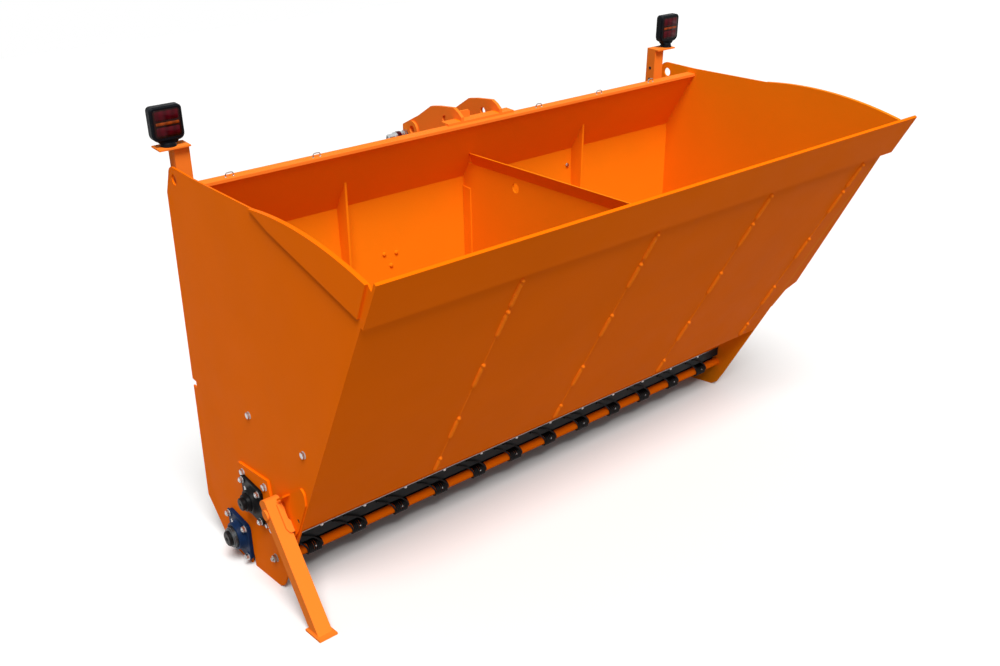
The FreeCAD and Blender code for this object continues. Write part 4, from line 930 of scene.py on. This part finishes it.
class SPREADER_OT_drive_fittings(Operator):
    """Fit the motor's ports and the cover's bolts"""
    bl_idname = "spreader.drive_fittings"
    bl_label = "Drive fittings"

    def execute(self, context):
        port_y, foot, nut, cover_x = 183, 300, 13, 1160
        ports = []
        for x in (1000, 1046):
            ports.append(hexagon([x, port_y, foot], HIGH, 27, nut))
            ports.append(turned([x, port_y, foot + nut], HIGH,
                                [(10, 0), (10, 7), (8.5, 8), (6, 8)], 24))
        build("motor_ports", ports, "zinc_plated_steel")
        bolts = []
        for y, z in ((-240, 440), (-40, 450), (205, 290), (205, 170), (100, 62), (-95, 62),
                     (-250, 262)):
            bolts += bolt([cover_x, y, z], RIGHT, 8)
        build("cover_bolts", bolts, "zinc_plated_steel")
        return {"FINISHED"}


# ---- lamps
POST_X, POST_Y = 1095, 159  # where a lamp's foot stands on its post
# Panes of a lamp: finish, width, lowest and highest z, corner and thickness, about its middle
PANES = (
    ("smoked_acrylic", 84, -37, 48, 9, 2.4), ("red_acrylic", 74, 16, 44, 5, 3.2),
    ("red_acrylic", 74, -31, -5, 5, 3.2), ("amber_acrylic", 74, 1, 10, 3, 3.6))


class SPREADER_OT_lamps(Operator):
    """Make the lamps: housing, foot, smoked pane, red lenses, amber bar, nut, painted hole shade"""
    bl_idname = "spreader.lamps"
    bl_label = "Lamps"

    def execute(self, context):
        for side, name, shift, rise in ((-1, "left", 7, 0), (1, "right", 13, 5)):
            middle = np.array([side * POST_X + shift, 143, 1548 + rise])
            deep = 32
            shell = slab(rounded(103, 108, [13, 13, 24, 20], steps=7) + [0, 3],
                         middle + REAR * deep, RIGHT, HIGH, deep, 4)
            rim = slab(rounded(97, 101, [11, 11, 20, 17], steps=7) + [0, 4],
                       middle + REAR * 2, RIGHT, HIGH, 3.6, 1.2)
            chin = slab([(-36, -46), (-25, -60), (25, -60), (36, -46)], middle + REAR * 28,
                        RIGHT, HIGH, 24, 2)
            foot = turned([middle[0], POST_Y, 1480], HIGH,
                          [(25, 0), (25, 3), (22, 5), (21, 11 + rise), (20, 12 + rise)], 36)
            build(f"lamp_housing_{name}", [shell, rim, chin, foot], "black_moulded_plastic",
                  stands_for=(f"lamp_{name}",), crease=40)
            panes = {}
            for finish, width, low, high, corner, front in PANES:
                flat = rounded(width, high - low, corner) + [0, (low + high) / 2]
                panes.setdefault(finish, []).append(slab(flat, middle, RIGHT, HIGH, front, 0.8))
            for finish, shells in panes.items():
                stands_for = (f"lamp_lens_{name}",) if finish == "smoked_acrylic" else ()
                build(f"lamp_{finish}_{name}", shells, finish, stands_for=stands_for, crease=50)
            build(f"lamp_nut_{name}", [hexagon([side * POST_X, POST_Y, 1475], LOW, 22, 8)],
                  "zinc_plated_steel")
            # Painted shade: small black domes where the posts have holes.
            screws = [domed([side * 1030, 166, z], side * LEFT, 6.5, 2) for z in (1400, 1353)]
            build(f"lamp_post_hole_shade_{name}", screws, "black_enamel_steel")
        return {"FINISHED"}


# ---- stage
FLOOR_REACH = 40  # half the floor's width, in metres
FLOOR_GLOW = "#8C8C8C"  # what the floor throws back on the machine
SKY_GLOW = 0.215  # strength of the background's light on it
# Suns: strength, width in degrees and the direction that they shine from
SUNS = {"key": (3.9, 26, (-0.24, -0.59, 0.77)), "fill": (0.55, 70, (-0.15, -0.96, 0.22))}
SUN_AWAY = 6  # metres
CAMERA = (-2289, -2930, 2491)
LENS, SENSOR, SHIFT_X, SHIFT_Y = 38.28, 36, -0.0075, 0.0193


def posed(item, first, second, third, spot):
    """Gives an object its three axes and its place."""
    columns = np.column_stack([first, second, third, spot])
    item.matrix_world = Matrix(np.vstack([columns, [0, 0, 0, 1]]).tolist())


def seen(tree):
    """One for a ray that sees a surface from the camera, in a reflection or through glass."""
    path = add(tree, "ShaderNodeLightPath").outputs
    either = path["Is Camera Ray"]
    for other in ("Is Glossy Ray", "Is Transmission Ray"):
        either = add(tree, "ShaderNodeMath", {"operation": "MAXIMUM"},
                     {0: either, 1: path[other]}).outputs[0]
    return either


class SPREADER_OT_stage(Operator):
    """Set the floor, the light, the background and the camera"""
    bl_idname = "spreader.stage"
    bl_label = "Stage"

    def execute(self, context):
        scene = context.scene
        _, colours, view = group()
        material = bpy.data.materials.new("studio_floor")
        tree = cleared(material)
        mixed = add(tree, "ShaderNodeMix", {"data_type": "RGBA"},
                    {0: seen(tree), 6: shade(FLOOR_GLOW), 7: (*colours.floor, 1)})
        diffuse = add(tree, "ShaderNodeBsdfDiffuse", links={"Color": mixed.outputs[2]})
        add(tree, "ShaderNodeOutputMaterial", links={"Surface": diffuse.outputs[0]})
        mesh = bpy.data.meshes.new("floor")
        mesh.from_pydata([(x * FLOOR_REACH, y * FLOOR_REACH, 0) for x, y in
                          ((-1, -1), (1, -1), (1, 1), (-1, 1))], [], [(0, 1, 2, 3)])
        mesh.materials.append(material)
        linked("floor", mesh)

        scene.world = bpy.data.worlds.new("studio")
        tree = cleared(scene.world)
        strength = add(tree, "ShaderNodeMapRange", links={
            "Value": seen(tree), "To Min": SKY_GLOW, "To Max": 1})
        sky = add(tree, "ShaderNodeBackground", links={
            "Color": (1, 1, 1, 1), "Strength": strength.outputs[0]})
        add(tree, "ShaderNodeOutputWorld", links={"Surface": sky.outputs[0]})

        for name, (energy, width, towards) in SUNS.items():
            light = bpy.data.lights.new(name, "SUN")
            light.energy, light.angle = energy, math.radians(width)
            axis, first, second = across(towards)
            posed(linked(name, light), first, second, axis, axis * SUN_AWAY)

        turn, rise, roll = view.azimuth, view.elevation, view.roll
        back = np.array([math.sin(turn) * math.cos(rise), -math.cos(turn) * math.cos(rise),
                         math.sin(rise)])
        side = np.cross(-back, HIGH)
        side /= np.linalg.norm(side)
        top = np.cross(side, -back)
        right = math.cos(roll) * side + math.sin(roll) * top
        upward = -math.sin(roll) * side + math.cos(roll) * top
        data = bpy.data.cameras.new("camera")
        data.sensor_width, data.lens = SENSOR, LENS
        data.shift_x, data.shift_y = SHIFT_X, SHIFT_Y
        scene.camera = linked("camera", data)
        posed(scene.camera, right @ AXES, upward @ AXES, back @ AXES, place(CAMERA))
        scene.view_settings.view_transform = "Standard"
        return {"FINISHED"}


PIECES = (
    SPREADER_OT_finishes, SPREADER_OT_stage, SPREADER_OT_gate_springs, SPREADER_OT_gate_screws,
    SPREADER_OT_wall_seams, SPREADER_OT_corner_welds, SPREADER_OT_bearings,
    SPREADER_OT_plate_fasteners, SPREADER_OT_leg_fittings, SPREADER_OT_rim_clips,
    SPREADER_OT_couplings, SPREADER_OT_hitch_fittings, SPREADER_OT_drive_fittings,
    SPREADER_OT_lamps,
)


class SPREADER_PT_panel(Panel):
    """Lists the spreader's pieces, sizes and colours"""
    bl_idname = "SPREADER_PT_panel"
    bl_label = "Sand spreader"
    bl_space_type = "VIEW_3D"
    bl_region_type = "UI"
    bl_category = "Spreader"

    def draw(self, context):
        for operator in PIECES:
            self.layout.operator(operator.bl_idname)
        for values in group():
            box = self.layout.box()
            for key in values.__annotations__:
                box.prop(values, key)


def register():
    for entry in (*GROUPS.values(), *PIECES, SPREADER_PT_panel):
        bpy.utils.register_class(entry)
    for name, kind in GROUPS.items():
        setattr(bpy.types.Scene, name, PointerProperty(type=kind))


def unregister():
    for name in GROUPS:
        delattr(bpy.types.Scene, name)
    for entry in (SPREADER_PT_panel, *reversed(PIECES), *reversed(tuple(GROUPS.values()))):
        bpy.utils.unregister_class(entry)


def main():
    """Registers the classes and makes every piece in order."""
    register()
    for operator in PIECES:
        family, step = operator.bl_idname.split(".")
        getattr(getattr(bpy.ops, family), step)()


if __name__ == "__main__":
    main()
